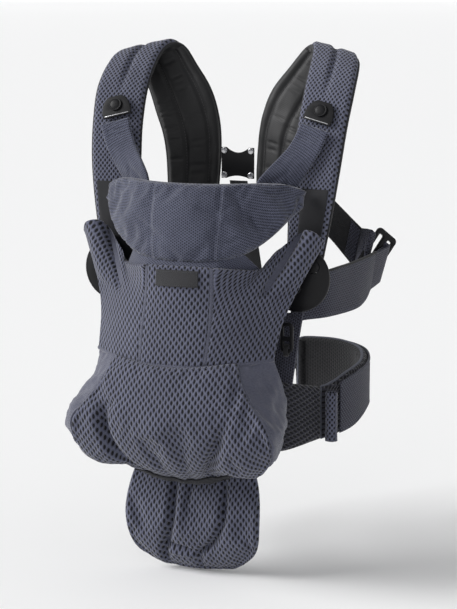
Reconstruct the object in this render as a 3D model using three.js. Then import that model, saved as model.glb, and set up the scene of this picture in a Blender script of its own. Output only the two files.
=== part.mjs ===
// Soft baby carrier. Millimetres, +Z up.
// The origin is on the wearer's torso axis, at mid-height of the waist belt.
// The baby's side faces -Y, the wearer's back is towards +Y, and +X is the left hand of a wearer
// who looks along -Y. Every soft layer is a closed shell of its own.
import * as THREE from "three";

// ---------- driving dimensions ----------
const LAYER_GAP = 0.8;            // air between two fabric layers
const STRAP_COVER = 3.0;          // spacer mesh of the shoulder strap
const STRAP_FOAM = 5.0;           // foam core of the shoulder strap
const STRAP_LINING = 3.0;         // quilted lining of the shoulder strap
const STRAP_STEPS = 26;           // stations along a shoulder strap
const PANEL_THICK = 5.0;          // padded mesh of the front panel
const PANEL_SEAM = 0.36;          // where the two upright panel seams lie, as a fraction of half width
const SEAT_THICK = 8.0;           // padded mesh of the seat pouch
const SEAT_TOP = 0.015;           // the pouch and gussets start this far below the panel seam
const TRIM_GAP = 0.9;             // between the pouch and the trim on its lower edge
const TRIM_THICK = 2.0;
const LABEL_THICK = 1.2;
const FLAP_THICK = 9.0;
const HEAD_STRAP_THICK = 5.0;
const SIDE_STRAP_THICK = 3.6;
const RISER_THICK = 4.0;
const LOOP_THICK = 4.0;           // moulded sliders and leg clips
const WEBBING_THICK = 2.4;
const BELT_COVER = 6.0;           // outer half of the waist belt pad
const BAND_GAP = 1.0;              // air between the belt cover and the band over it
const BELT_LINING = 5.0;          // inner half of the waist belt pad
const DISC_RADIUS = 38;           // side buckle disc
const DISC_THICK = 8;
const DISC_CENTRE = new THREE.Vector3(109, -94, 146);
const BUTTON_RADIUS = 7;          // release button in the side buckle disc
const BUTTON_CLEARANCE = 0.5;
const SNAP_HOLE_RADIUS = 5.6;     // socket in the snap tab
const STUD_RADIUS = 5.0;          // stud on the shoulder strap
const CAP_RADIUS = 7.5;           // push cap on the snap tab
const COUPLER_HALF_WIDTH = 20;    // plate that joins the two straps behind the neck
const COUPLER_THICK = 3.0;
const RIVET_RADIUS = 2.0;
const SIDES = [["right", 1], ["left", -1]];

// ---------- small helpers ----------
const carrier = new THREE.Group();

function vec(x, y, z) {
  return new THREE.Vector3(x, y, z);
}

function finish(color, roughness, metalness = 0) {
  return new THREE.MeshStandardMaterial({ color, roughness, metalness });
}

const LOOKS = {
  mesh: () => finish(0x595c66, 0.9),
  jersey: () => finish(0x5d606e, 0.95),
  lining: () => finish(0x2b2b2b, 0.85),
  foam: () => finish(0xd8d4c8, 1.0),
  webbing: () => finish(0x1d1d1f, 0.8),
  plastic: () => finish(0x1e1e22, 0.35),
  metal: () => finish(0xb9bac0, 0.3, 1.0),
};

function add(name, look, geometry) {
  const mesh = new THREE.Mesh(geometry, LOOKS[look]());
  mesh.name = name;
  carrier.add(mesh);
  return mesh;
}

function signedVolume(points, faces) {
  let total = 0;
  for (const [a, b, c] of faces) {
    total += points[a].dot(vec(0, 0, 0).crossVectors(points[b], points[c]));
  }
  return total / 6;
}

function solidFrom(points, faces) {
  const outward = signedVolume(points, faces) > 0;
  const index = faces.flatMap(([a, b, c]) => (outward ? [a, b, c] : [a, c, b]));
  const geometry = new THREE.BufferGeometry();
  const numbers = points.flatMap((p) => p.toArray());
  geometry.setAttribute("position", new THREE.Float32BufferAttribute(numbers, 3));
  geometry.setIndex(index);
  geometry.computeVertexNormals();
  return geometry;
}

// Closed shell between two surfaces front(u, v) and back(u, v), with u and v from 0 to 1.
function shell(front, back, across, along) {
  const points = [];
  const faces = [];
  const row = across + 1;
  const layer = row * (along + 1);
  for (const surface of [front, back]) {
    for (let j = 0; j <= along; j += 1) {
      for (let i = 0; i <= across; i += 1) {
        points.push(surface(i / across, j / along));
      }
    }
  }
  for (let j = 0; j < along; j += 1) {
    for (let i = 0; i < across; i += 1) {
      const a = j * row + i;
      const [b, c, d] = [a + 1, a + row + 1, a + row];
      faces.push([a, b, c], [a, c, d]);
      faces.push([a + layer, c + layer, b + layer], [a + layer, d + layer, c + layer]);
    }
  }
  const rim = [];
  for (let i = 0; i < across; i += 1) rim.push(i);
  for (let j = 0; j < along; j += 1) rim.push(j * row + across);
  for (let i = across; i > 0; i -= 1) rim.push(along * row + i);
  for (let j = along; j > 0; j -= 1) rim.push(j * row);
  rim.forEach((a, k) => {
    const b = rim[(k + 1) % rim.length];
    faces.push([a, a + layer, b + layer], [a, b + layer, b]);
  });
  return solidFrom(points, faces);
}

// Unit normal of a surface by finite differences.
function normalOf(surface, u, v) {
  const step = 0.01;
  const [u0, u1] = [Math.max(0, u - step), Math.min(1, u + step)];
  const [v0, v1] = [Math.max(0, v - step), Math.min(1, v + step)];
  const du = surface(u1, v).sub(surface(u0, v));
  const dv = surface(u, v1).sub(surface(u, v0));
  return du.cross(dv).normalize();
}

// The same surface moved along its own normal.
function offset(surface, distance) {
  return (u, v) => surface(u, v).addScaledVector(normalOf(surface, u, v), distance);
}

// A layer of a surface, from one distance to another along its normal.
function layer(surface, low, high, across, along) {
  return shell(offset(surface, high), offset(surface, low), across, along);
}

// Smooth curve through points, with its parameter shared evenly between them.
function curveThrough(points, side = 1) {
  const placed = points.map(([x, y, z]) => vec(side * x, y, z));
  const curve = new THREE.CatmullRomCurve3(placed, false, "catmullrom", 0.5);
  return (t) => curve.getPoint(Math.min(1, Math.max(0, t)));
}

// A ribbon between two edge curves. Its normal points to the first edge's right-hand side.
function ribbon(edgeA, edgeB, side = 1) {
  const a = curveThrough(edgeA, side);
  const b = curveThrough(edgeB, side);
  return (u, v) => {
    const w = side > 0 ? u : 1 - u;
    return a(v).lerp(b(v), w);
  };
}

// Points of a table of bowed rows at s, from -1 at one end of each row to 1 at the other.
function bowedRows(table, s) {
  return table.map((row) => vec(row.halfWidth * s, row.y + row.yRise * s * s, row.z + row.zRise * s * s));
}

// Shape in its own plane, made solid along its normal and centred on it.
function plate(shape, thickness, segments = 10) {
  const geometry = new THREE.ExtrudeGeometry(shape, {
    depth: thickness, bevelEnabled: false, curveSegments: segments,
  });
  geometry.translate(0, 0, -thickness / 2);
  return geometry;
}

function roundedRectangle(width, height, radius, steps = 3) {
  const points = [];
  const [w, h] = [width / 2 - radius, height / 2 - radius];
  [[w, -h], [w, h], [-w, h], [-w, -h]].forEach(([x, y], corner) => {
    for (let k = 0; k <= steps; k += 1) {
      const angle = (corner - 1 + k / steps) * (Math.PI / 2);
      points.push(new THREE.Vector2(x + radius * Math.cos(angle), y + radius * Math.sin(angle)));
    }
  });
  return new THREE.Shape(points);
}

function slot(x, y, width, height) {
  const hole = new THREE.Path();
  hole.moveTo(x - width / 2, y - height / 2);
  hole.lineTo(x - width / 2, y + height / 2);
  hole.lineTo(x + width / 2, y + height / 2);
  hole.lineTo(x + width / 2, y - height / 2);
  return hole;
}

// Turn and place a solid whose own axes are X, Y and Z along the three given directions.
function place(geometry, centre, xAxis, yAxis) {
  const x = xAxis.clone().normalize();
  const z = vec(0, 0, 0).crossVectors(x, yAxis).normalize();
  const y = vec(0, 0, 0).crossVectors(z, x);
  const matrix = new THREE.Matrix4().makeBasis(x, y, z).setPosition(centre);
  return geometry.applyMatrix4(matrix);
}

function mirrored(point, side) {
  return vec(side * point.x, point.y, point.z);
}

// ---------- shoulder straps ----------
// Neck-side and arm-side edges, from the side buckle up, over the shoulder and down to the coupler.
const STRAP_INNER = [
  [93, -76, 152], [92, -71, 205], [92, -62, 262], [95, -48, 310], [96, -24, 355], [92, 12, 390],
  [78, 34, 394], [58, 31, 370], [38, 25, 342], [27, 22, 308], [24, 19, 272], [24.5, 12, 228],
];
const STRAP_OUTER = [
  [130, -76, 152], [140, -74, 205], [148, -67, 262], [152, -54, 310], [154, -33, 350], [149, 0, 379],
  [132, 22, 379], [114, 19, 347], [99, 9, 316], [87, 0, 292], [82, -2, 266], [79, -5, 228],
];

function addShoulderStrap(label, side) {
  const surface = ribbon(STRAP_INNER, STRAP_OUTER, side);
  const core = STRAP_FOAM / 2;
  const coverLow = core + LAYER_GAP;
  const liningHigh = -core - LAYER_GAP;
  const inset = 0.04;
  const foam = (u, v) => surface(inset + u * (1 - 2 * inset), inset / 4 + v * (1 - inset / 2));
  add(`shoulder_strap_cover_${label}`, "mesh",
    layer(surface, coverLow, coverLow + STRAP_COVER, 2, STRAP_STEPS));
  add(`shoulder_strap_foam_${label}`, "foam", layer(foam, -core, core, 2, STRAP_STEPS));
  add(`shoulder_strap_lining_${label}`, "lining",
    layer(surface, liningHigh - STRAP_LINING, liningHigh, 2, STRAP_STEPS));
}

// ---------- neck coupler and its rivets ----------
const COUPLER_CENTRE = vec(0, 13, 260);
const COUPLER_HALF_HEIGHT = 18;
const COUPLER_WAIST = 6;          // how far the top and bottom edges curve in

const RIVET_INSET_X = 3.6;        // rivets sit this far inside the plate's corners
const RIVET_INSET_Z = 3.8;
const RIVET_HEAD = 0.9;           // a rivet's head is this much wider than its shank
const COUPLER_CORNERS = [
  ["low_left", -1, -1], ["top_left", -1, 1], ["low_right", 1, -1], ["top_right", 1, 1],
];

function addCoupler() {
  const shape = new THREE.Shape();
  const [w, h] = [COUPLER_HALF_WIDTH, COUPLER_HALF_HEIGHT];
  const [rivetX, rivetZ] = [w - RIVET_INSET_X, h - RIVET_INSET_Z];
  shape.moveTo(-w, -h);
  shape.lineTo(-w + 6, -h);
  shape.quadraticCurveTo(0, -h + COUPLER_WAIST, w - 6, -h);
  shape.lineTo(w, -h);
  shape.lineTo(w, h);
  shape.lineTo(w - 6, h);
  shape.quadraticCurveTo(0, h - 2 * COUPLER_WAIST, -w + 6, h);
  shape.lineTo(-w, h);
  for (const [, sx, sz] of COUPLER_CORNERS) {
    const hole = new THREE.Path();
    hole.absarc(sx * rivetX, sz * rivetZ, RIVET_RADIUS + 0.4, 0, 2 * Math.PI, true);
    shape.holes.push(hole);
  }
  const plateSolid = plate(shape, COUPLER_THICK, 5);
  add("neck_coupler", "plastic", place(plateSolid, COUPLER_CENTRE, vec(1, 0, 0), vec(0, 0, 1)));
  for (const [corner, sx, sz] of COUPLER_CORNERS) {
    const rivet = new THREE.LatheGeometry([
      new THREE.Vector2(0, -1.4), new THREE.Vector2(RIVET_RADIUS, -1.4),
      new THREE.Vector2(RIVET_RADIUS, 2), new THREE.Vector2(RIVET_RADIUS + RIVET_HEAD, 2),
      new THREE.Vector2(RIVET_RADIUS + RIVET_HEAD, 3.6), new THREE.Vector2(0, 3.6),
    ], 10);
    rivet.translate(sx * rivetX, COUPLER_CENTRE.y, COUPLER_CENTRE.z + sz * rivetZ);
    add(`coupler_rivet_${corner}`, "metal", rivet);
  }
}

// ---------- head support ----------
const HEAD_HALF_WIDTH = 116;
const HEAD_FOAM_THICK = 22;
const HEAD_RIM_THICK = 8;

function headSupportHalf(u, v) {
  const s = 2 * u - 1;
  const crown = (1 - (2 * v - 1) ** 2) * (1 - s ** 4);
  return (HEAD_RIM_THICK + (HEAD_FOAM_THICK - HEAD_RIM_THICK) * Math.sqrt(Math.max(0, crown))) / 2;
}

function headSupportMiddle(u, v) {
  const s = 2 * u - 1;
  const reach = Math.abs(s);
  const low = 167 + 62 * reach ** 3.2;
  const high = 253 + 2 * s * s;
  const frontY = -174 + 17 * v + 68 * reach ** 2.2;
  return vec(HEAD_HALF_WIDTH * s, frontY + headSupportHalf(u, 0.5), low + (high - low) * v);
}

function addHeadSupport() {
  const front = (u, v) => headSupportMiddle(u, v)
    .addScaledVector(normalOf(headSupportMiddle, u, v), headSupportHalf(u, v));
  const back = (u, v) => headSupportMiddle(u, v)
    .addScaledVector(normalOf(headSupportMiddle, u, v), -headSupportHalf(u, v));
  add("head_support_cushion", "jersey", shell(front, back, 14, 6));
}

const HEAD_STRAP_INNER = [[62, -107, 242], [68, -99, 258], [92, -76, 289], [104, -65.5, 316]];
const HEAD_STRAP_OUTER = [[100, -80, 240], [112, -77, 258], [127, -75, 282], [137, -69, 307]];

function addHeadStrap(label, side) {
  const surface = ribbon(HEAD_STRAP_INNER, HEAD_STRAP_OUTER, side);
  add(`head_support_strap_${label}`, "jersey",
    layer(surface, -HEAD_STRAP_THICK / 2, HEAD_STRAP_THICK / 2, 2, 6));
}

// ---------- snap fasteners of the head support ----------
const TAB_CENTRE = vec(123, -57, 327);
const TAB_THICK = 3.2;
const TAB_FACE = vec(0, -0.9, 0.436);     // the way the tab faces
const TAB_LEAN = 0.27;                    // how far the tab leans outwards in its own plane, radians

function tabAxes(side) {
  const up = vec(0, 0.436, 0.9);
  const across = vec(1, 0, 0);
  const [cos, sin] = [Math.cos(TAB_LEAN), side * Math.sin(TAB_LEAN)];
  const xAxis = across.clone().multiplyScalar(cos).addScaledVector(up, -sin);
  const yAxis = up.clone().multiplyScalar(cos).addScaledVector(across, sin);
  return [xAxis, yAxis];
}

function tabOutline() {
  const shape = new THREE.Shape();
  shape.moveTo(-17, -12);
  shape.lineTo(17, -12);
  shape.quadraticCurveTo(18, 8, 8, 13);
  shape.lineTo(-8, 13);
  shape.quadraticCurveTo(-18, 8, -17, -12);
  const hole = new THREE.Path();
  hole.absarc(0, 2, SNAP_HOLE_RADIUS, 0, 2 * Math.PI, true);
  shape.holes.push(hole);
  return shape;
}

function disc(radius, thickness, segments = 18) {
  const shape = new THREE.Shape();
  shape.absarc(0, 0, radius, 0, 2 * Math.PI, false);
  return plate(shape, thickness, segments / 2);
}

function addSnapFastener(label, side) {
  const [xAxis, yAxis] = tabAxes(side);
  const centre = mirrored(TAB_CENTRE, side);
  const hub = centre.clone().addScaledVector(yAxis, 2);
  const along = (distance) => hub.clone().addScaledVector(TAB_FACE, distance);
  add(`snap_tab_${label}`, "plastic", place(plate(tabOutline(), TAB_THICK, 7), centre, xAxis, yAxis));
  add(`snap_cap_${label}`, "plastic", place(disc(CAP_RADIUS, 2), along(TAB_THICK / 2 + 1.4), xAxis, yAxis));
  add(`snap_stud_${label}`, "plastic", place(disc(STUD_RADIUS, 4.6), along(-2.6), xAxis, yAxis));
}

// ---------- front panel, wings, seat and what is sewn to them ----------
// Half rows of the panel, from the seat seam (row 0) to the neckline and wing tops (row 3).
const NECK_FLAT = 0.4;            // how far the flat top edge reaches before the neckline drops
const NECKLINE = [
  [41.6, -169, 164.5], [60, -151, 161.5], [80, -129, 160.5], [97, -115, 178], [112, -106, 195],
  [127, -103, 201], [143, -97, 189],
];
const necklineCurve = curveThrough(NECKLINE);

function panelRow(row, reach) {
  if (row === 0) return vec(103.5 * reach, -199 + 45 * reach ** 2, 58 + 7 * reach ** 2);
  if (row === 1) return vec(108 * reach, -190 + 54 * reach ** 2, 93 + 11 * reach ** 3);
  if (row === 2) return vec(104 * reach + 19 * reach ** 4, -182 + 67 * reach ** 1.9, 128 + 18 * reach ** 3);
  if (reach < NECK_FLAT) return vec(104 * reach, -175 + 37.5 * reach ** 2, 165.5 - 6 * reach ** 2);
  return necklineCurve((reach - NECK_FLAT) / (1 - NECK_FLAT));
}

function panelSurface(u, v) {
  const s = 2 * u - 1;
  const rows = [0, 1, 2, 3].map((row) => panelRow(row, Math.abs(s)));
  const column = new THREE.CatmullRomCurve3(rows, false, "catmullrom", 0.5);
  const point = column.getPoint(v);
  return vec(Math.sign(s || 1) * point.x, point.y, point.z);
}

// Part of a surface, from u0 to u1 and v0 to v1.
function patch(surface, u0, u1, v0, v1) {
  return (u, v) => surface(u0 + (u1 - u0) * u, v0 + (v1 - v0) * v);
}

function addPanel() {
  const half = PANEL_THICK / 2;
  const seamGap = 0.004;
  const leftSeam = (1 - PANEL_SEAM) / 2;
  const rightSeam = 1 - leftSeam;
  const centre = patch(panelSurface, leftSeam + seamGap, rightSeam - seamGap, 0.01, 1);
  const left = patch(panelSurface, 0, leftSeam - seamGap, 0.01, 1);
  const right = patch(panelSurface, rightSeam + seamGap, 1, 0.01, 1);
  add("front_panel_centre", "mesh", layer(centre, -half, half, 4, 8));
  add("front_panel_wing_left", "mesh", layer(left, -half, half, 8, 8));
  add("front_panel_wing_right", "mesh", layer(right, -half, half, 8, 8));
  const tag = patch(panelSurface, 0.385, 0.615, 0.8, 0.96);
  add("panel_label", "webbing", layer(tag, half + LAYER_GAP, half + LAYER_GAP + LABEL_THICK, 4, 2));
}

// Rows of the seat pouch, from the panel seam down and round to the gathered lower edge.
const SEAT_ROWS = [
  { halfWidth: 72, y: -199, yRise: 11, z: 56.5, zRise: 2.5 },
  { halfWidth: 89, y: -207, yRise: 13, z: 26, zRise: 0 },
  { halfWidth: 116, y: -209, yRise: 7, z: -10, zRise: 0 },
  { halfWidth: 106, y: -191, yRise: 12, z: -48, zRise: 0 },
  { halfWidth: 54, y: -141, yRise: 2, z: -80, zRise: 10 },
];

function seatSurface(u, v) {
  const s = 2 * u - 1;
  const rows = bowedRows(SEAT_ROWS, s);
  const column = new THREE.CatmullRomCurve3(rows, false, "catmullrom", 0.5);
  return column.getPoint(v);
}

// Rear edge of the side gusset, from the panel corner down to the seat's lower bulge.
const GUSSET_REAR = [[103, -151, 61], [110, -142, 32], [112, -138, 0], [103, -140, -32], [88, -148, -52]];
const GUSSET_BULGE = { right: 6, left: 20 };   // the left one is pushed outwards, as worn
const GUSSET_THICK = 3;
const GUSSET_START = 0.15;        // the gusset stops this share of its width short of the seat's edge

function addSeat() {
  const half = SEAT_THICK / 2;
  add("seat_pouch", "mesh", layer(patch(seatSurface, 0, 1, SEAT_TOP, 1), -half, half, 12, 12));
  const hem = patch(seatSurface, 0.1, 0.9, 0.93, 1);
  add("seat_edge_trim", "webbing", layer(hem, -half - TRIM_GAP - TRIM_THICK, -half - TRIM_GAP, 8, 2));
  for (const [label, side] of SIDES) {
    const rear = curveThrough(GUSSET_REAR, side);
    const surface = (u, v) => {
      const edge = seatSurface(side > 0 ? 1 : 0, SEAT_TOP + 0.845 * v);
      const reach = side > 0 ? u : 1 - u;
      const point = edge.lerp(rear(v), GUSSET_START + (1 - GUSSET_START) * reach);
      point.x += side * GUSSET_BULGE[label] * Math.sin(Math.PI * reach) * Math.sin(Math.PI * v ** 1.3);
      return point;
    };
    add(`seat_gusset_${label}`, "jersey", layer(surface, -GUSSET_THICK / 2, GUSSET_THICK / 2, 4, 8));
    const tongue = plate(roundedRectangle(26, 34, 8), 3, 4);
    add(`wing_tongue_${label}`, "plastic",
      place(tongue, vec(side * 104, -103, 146), vec(1, 0, 0), vec(0, 0, 1)));
  }
}

// ---------- flap under the seat ----------
const FLAP_ROWS = [
  { halfWidth: 60, y: -121, yRise: 2, z: -49, zRise: 0 },
  { halfWidth: 76, y: -126, yRise: -1, z: -85, zRise: 0 },
  { halfWidth: 81, y: -135, yRise: -2, z: -128, zRise: 0 },
  { halfWidth: 73, y: -127, yRise: 0, z: -166, zRise: 1 },
  { halfWidth: 44, y: -113, yRise: 0, z: -191, zRise: 6 },
];

function flapSurface(u, v) {
  const s = 2 * u - 1;
  const rows = bowedRows(FLAP_ROWS, s);
  const column = new THREE.CatmullRomCurve3(rows, false, "catmullrom", 0.5);
  return column.getPoint(v);
}

function addFlap() {
  add("leg_flap", "mesh", layer(flapSurface, -FLAP_THICK / 2, FLAP_THICK / 2, 8, 10));
}

// ---------- side buckles ----------
function addSideBuckle(label, side) {
  const centre = mirrored(DISC_CENTRE, side);
  const buttonOffset = vec(side * 20, 0, 14);
  const shape = new THREE.Shape();
  shape.absarc(0, 0, DISC_RADIUS, 0, 2 * Math.PI, false);
  const hole = new THREE.Path();
  hole.absarc(buttonOffset.x, buttonOffset.z, BUTTON_RADIUS + BUTTON_CLEARANCE, 0, 2 * Math.PI, true);
  shape.holes.push(hole);
  add(`side_buckle_disc_${label}`, "plastic",
    place(plate(shape, DISC_THICK, 14), centre, vec(1, 0, 0), vec(0, 0, 1)));
  const buttonCentre = centre.clone().add(buttonOffset).add(vec(0, -2, 0));
  add(`side_buckle_button_${label}`, "plastic",
    place(disc(BUTTON_RADIUS, DISC_THICK - 1), buttonCentre, vec(1, 0, 0), vec(0, 0, 1)));
}

// ---------- side straps, bands and sliders ----------
const SIDE_STRAP_TOP = [[112, -67, 141], [131, -50, 149], [144, -2, 152], [152, 32, 155], [155, 56, 157]];
const SIDE_STRAP_LOW = [[112, -67, 95], [131, -45, 96], [147, 0, 98], [150, 28, 103], [149, 53, 113]];
const SIDE_BAND_TOP = [[66, 26, 268], [82, 52, 238], [101, 70, 213], [120, 80, 191], [130, 82, 181]];
const SIDE_BAND_LOW = [[60, 26, 218], [76, 50, 192], [94, 68, 170], [112, 77, 146], [121, 80, 134]];
const SLIDER_CENTRE = vec(147, 77, 150);
const SLIDER_SHORT = vec(0.51, 0.6, -0.62);
const SLIDER_LONG = vec(0.2, 0.22, 0.95);

function addSideStrap(label, side) {
  const strap = ribbon(SIDE_STRAP_TOP, SIDE_STRAP_LOW, side);
  add(`side_strap_${label}`, "mesh", layer(strap, -SIDE_STRAP_THICK / 2, SIDE_STRAP_THICK / 2, 2, 10));
  const band = ribbon(SIDE_BAND_TOP, SIDE_BAND_LOW, side);
  add(`side_band_${label}`, "webbing", layer(band, -WEBBING_THICK / 2, WEBBING_THICK / 2, 2, 8));
  const frame = roundedRectangle(30, 62, 5);
  frame.holes.push(slot(-7.2, 0, 7, 50), slot(7.2, 0, 7, 48));
  const [centre, short, long] = [SLIDER_CENTRE, SLIDER_SHORT, SLIDER_LONG].map((p) => mirrored(p, side));
  add(`strap_slider_${label}`, "plastic", place(plate(frame, LOOP_THICK, 3), centre, short, long));
}

// ---------- risers and leg clips between side buckle and belt ----------
const RISER_INNER = [[89, -82, 104], [85, -93, 70], [84, -105, 36]];
const RISER_OUTER = [[113, -80, 106], [110, -90, 70], [106, -102, 36]];
const CLIP_CENTRE = vec(106, -118, 83);

function addRiser(label, side) {
  const strap = ribbon(RISER_INNER, RISER_OUTER, side);
  add(`side_riser_${label}`, "mesh", layer(strap, -RISER_THICK / 2, RISER_THICK / 2, 2, 6));
  const loop = roundedRectangle(15, 34, 6);
  loop.holes.push(slot(0, 7, 7, 12), slot(0, -8, 7, 9));
  const centre = mirrored(CLIP_CENTRE, side);
  const clip = plate(loop, LOOP_THICK, 3);
  add(`leg_clip_${label}`, "plastic", place(clip, centre, vec(1, 0, 0), vec(0, 0, 1)));
}

// ---------- waist belt ----------
// Plan of the belt from the front centre round the side to the back, with its lower and upper edge.
const BELT_PLAN = [
  { x: 0, y: -121, low: -44, high: 38 },
  { x: 48, y: -120, low: -44, high: 36 },
  { x: 92, y: -110, low: -49, high: 31 },
  { x: 127, y: -64, low: -41, high: 19 },
  { x: 146, y: -22, low: -34, high: 30 },
  { x: 149, y: 22, low: -20, high: 36 },
  { x: 133, y: 64, low: -18, high: 42 },
  { x: 98, y: 92, low: -18, high: 44 },
  { x: 56, y: 104, low: -16, high: 42 },
];

function beltSpan(side, from, to) {
  const [low, high] = [BELT_PLAN.map((p) => [p.x, p.y, p.low]), BELT_PLAN.map((p) => [p.x, p.y, p.high])];
  const [lower, upper] = [curveThrough(low, side), curveThrough(high, side)];
  return (u, v) => {
    const t = from + (to - from) * (side > 0 ? 1 - v : v);
    return lower(t).lerp(upper(t), u);
  };
}

function addBelt() {
  const half = (BELT_COVER + BELT_LINING) / 2;
  const creaseAt = 3 / (BELT_PLAN.length - 1);
  const leftPlan = BELT_PLAN.slice(1, 4).reverse().map((p) => ({ ...p, x: -p.x }));
  const frontPlan = [...leftPlan, ...BELT_PLAN.slice(0, 4)];
  const lowEdge = curveThrough(frontPlan.map((p) => [p.x, p.y, p.low]));
  const highEdge = curveThrough(frontPlan.map((p) => [p.x, p.y, p.high]));
  const front = (u, v) => lowEdge(0.01 + 0.98 * v).lerp(highEdge(0.01 + 0.98 * v), u);
  add("belt_front_pad", "mesh", layer(front, -half, half, 2, 16));
  for (const [label, side] of SIDES) {
    const pad = beltSpan(side, creaseAt + 0.012, 1);
    add(`belt_side_cover_${label}`, "mesh", layer(pad, -half + BELT_LINING + LAYER_GAP, half, 2, 12));
    add(`belt_side_lining_${label}`, "lining", layer(pad, -half, -half + BELT_LINING, 2, 12));
    const band = patch(beltSpan(side, creaseAt + 0.06, 0.9), 0.02, 0.98, 0, 1);
    const bandLow = half + BAND_GAP;
    add(`belt_band_${label}`, "mesh", layer(band, bandLow, bandLow + WEBBING_THICK, 2, 12));
  }
}

// Rolled mesh loop that keeps the belt's folded end, at the crease between front and side pads.
const KEEPER_RADIUS = 7;
const KEEPER_CENTRE = vec(142, -67, -14);
const KEEPER_HEIGHT = 54;

function addKeeper(label, side) {
  const roll = new THREE.CylinderGeometry(KEEPER_RADIUS, KEEPER_RADIUS, KEEPER_HEIGHT, 12);
  roll.rotateX(Math.PI / 2);
  const centre = mirrored(KEEPER_CENTRE, side);
  roll.translate(centre.x, centre.y, centre.z);
  add(`belt_keeper_${label}`, "mesh", roll);
}

// ---------- rear waist buckle and webbing ----------
const BUCKLE_Y = 107;
const BUCKLE_Z = 14;
const BACK_WEBBING_WIDTH = 22;
const WAIST_WEBBING_THICK = 2.2;
const TONGUE_ROOM = 46;           // the tongue slides out as far as this from the middle

function addWaistBuckle() {
  const sleeve = roundedRectangle(12, 34, 4);
  sleeve.holes.push(slot(0, 0, 6.4, 27));
  const female = plate(sleeve, 34, 3);
  add("waist_buckle_socket", "plastic",
    place(female, vec(20, BUCKLE_Y, BUCKLE_Z), vec(0, 1, 0), vec(0, 0, 1)));
  const tongue = new THREE.Shape();
  tongue.moveTo(22, -12);
  tongue.lineTo(26, -8);
  tongue.lineTo(26, 8);
  tongue.lineTo(22, 12);
  tongue.lineTo(-2, 12);
  tongue.lineTo(-2, 17);
  tongue.lineTo(-20, 17);
  tongue.lineTo(-20, -17);
  tongue.lineTo(-2, -17);
  tongue.lineTo(-2, -12);
  tongue.holes.push(slot(-13, 0, 5, 27));
  add("waist_buckle_tongue", "plastic",
    place(plate(tongue, 5), vec(0, BUCKLE_Y, BUCKLE_Z), vec(1, 0, 0), vec(0, 0, 1)));
  for (const [label, side] of SIDES) {
    const nearX = side > 0 ? 38.5 : TONGUE_ROOM;
    const path = [[nearX, BUCKLE_Y], [nearX + 6, BUCKLE_Y + 1], [56, BUCKLE_Y + 6.5], [76, BUCKLE_Y + 5]];
    const strap = ribbon(path.map(([x, y]) => [x, y, 1]), path.map(([x, y]) => [x, y, 27]), side);
    const webbing = layer(strap, -WAIST_WEBBING_THICK / 2, WAIST_WEBBING_THICK / 2, 1, 6);
    add(`waist_webbing_${label}`, "webbing", webbing);
  }
  const edge = (x) => [[x, 15, 239], [x, 61, 141], [x, 93, 52]];
  const spine = ribbon(edge(-BACK_WEBBING_WIDTH / 2), edge(BACK_WEBBING_WIDTH / 2));
  add("back_webbing", "webbing", layer(spine, -WEBBING_THICK / 2, WEBBING_THICK / 2, 1, 8));
}

// ---------- the whole carrier ----------
for (const [label, side] of SIDES) {
  addShoulderStrap(label, side);
  addHeadStrap(label, side);
  addSnapFastener(label, side);
  addSideBuckle(label, side);
  addSideStrap(label, side);
  addRiser(label, side);
  addKeeper(label, side);
}
addCoupler();
addHeadSupport();
addPanel();
addSeat();
addFlap();
addBelt();
addWaistBuckle();

export default carrier;
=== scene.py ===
import math

import bmesh
import bpy
import numpy as np
from mathutils import Matrix, Vector


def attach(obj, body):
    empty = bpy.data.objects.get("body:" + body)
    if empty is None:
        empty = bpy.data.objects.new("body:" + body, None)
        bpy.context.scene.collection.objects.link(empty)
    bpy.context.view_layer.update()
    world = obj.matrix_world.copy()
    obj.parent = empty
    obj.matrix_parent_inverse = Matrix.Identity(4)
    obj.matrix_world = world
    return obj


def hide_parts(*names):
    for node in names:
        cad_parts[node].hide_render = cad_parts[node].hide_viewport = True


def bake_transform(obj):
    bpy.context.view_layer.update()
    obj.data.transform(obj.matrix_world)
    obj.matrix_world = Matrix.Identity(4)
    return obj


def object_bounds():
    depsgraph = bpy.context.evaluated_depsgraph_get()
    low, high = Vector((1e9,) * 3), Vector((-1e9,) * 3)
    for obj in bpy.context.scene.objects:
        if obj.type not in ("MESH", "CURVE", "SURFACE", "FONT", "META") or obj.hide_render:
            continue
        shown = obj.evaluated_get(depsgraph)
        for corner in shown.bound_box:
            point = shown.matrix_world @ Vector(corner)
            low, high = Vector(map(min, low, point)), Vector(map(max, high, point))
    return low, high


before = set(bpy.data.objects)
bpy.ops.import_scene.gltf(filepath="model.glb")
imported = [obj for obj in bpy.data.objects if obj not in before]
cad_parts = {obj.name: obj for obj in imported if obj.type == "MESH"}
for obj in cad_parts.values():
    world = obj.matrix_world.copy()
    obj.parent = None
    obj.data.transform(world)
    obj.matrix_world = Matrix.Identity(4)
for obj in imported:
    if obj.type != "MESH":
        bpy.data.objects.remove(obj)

MM = 0.001
SIDES = (("right", 1), ("left", -1))
CAD_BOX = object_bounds()

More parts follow.
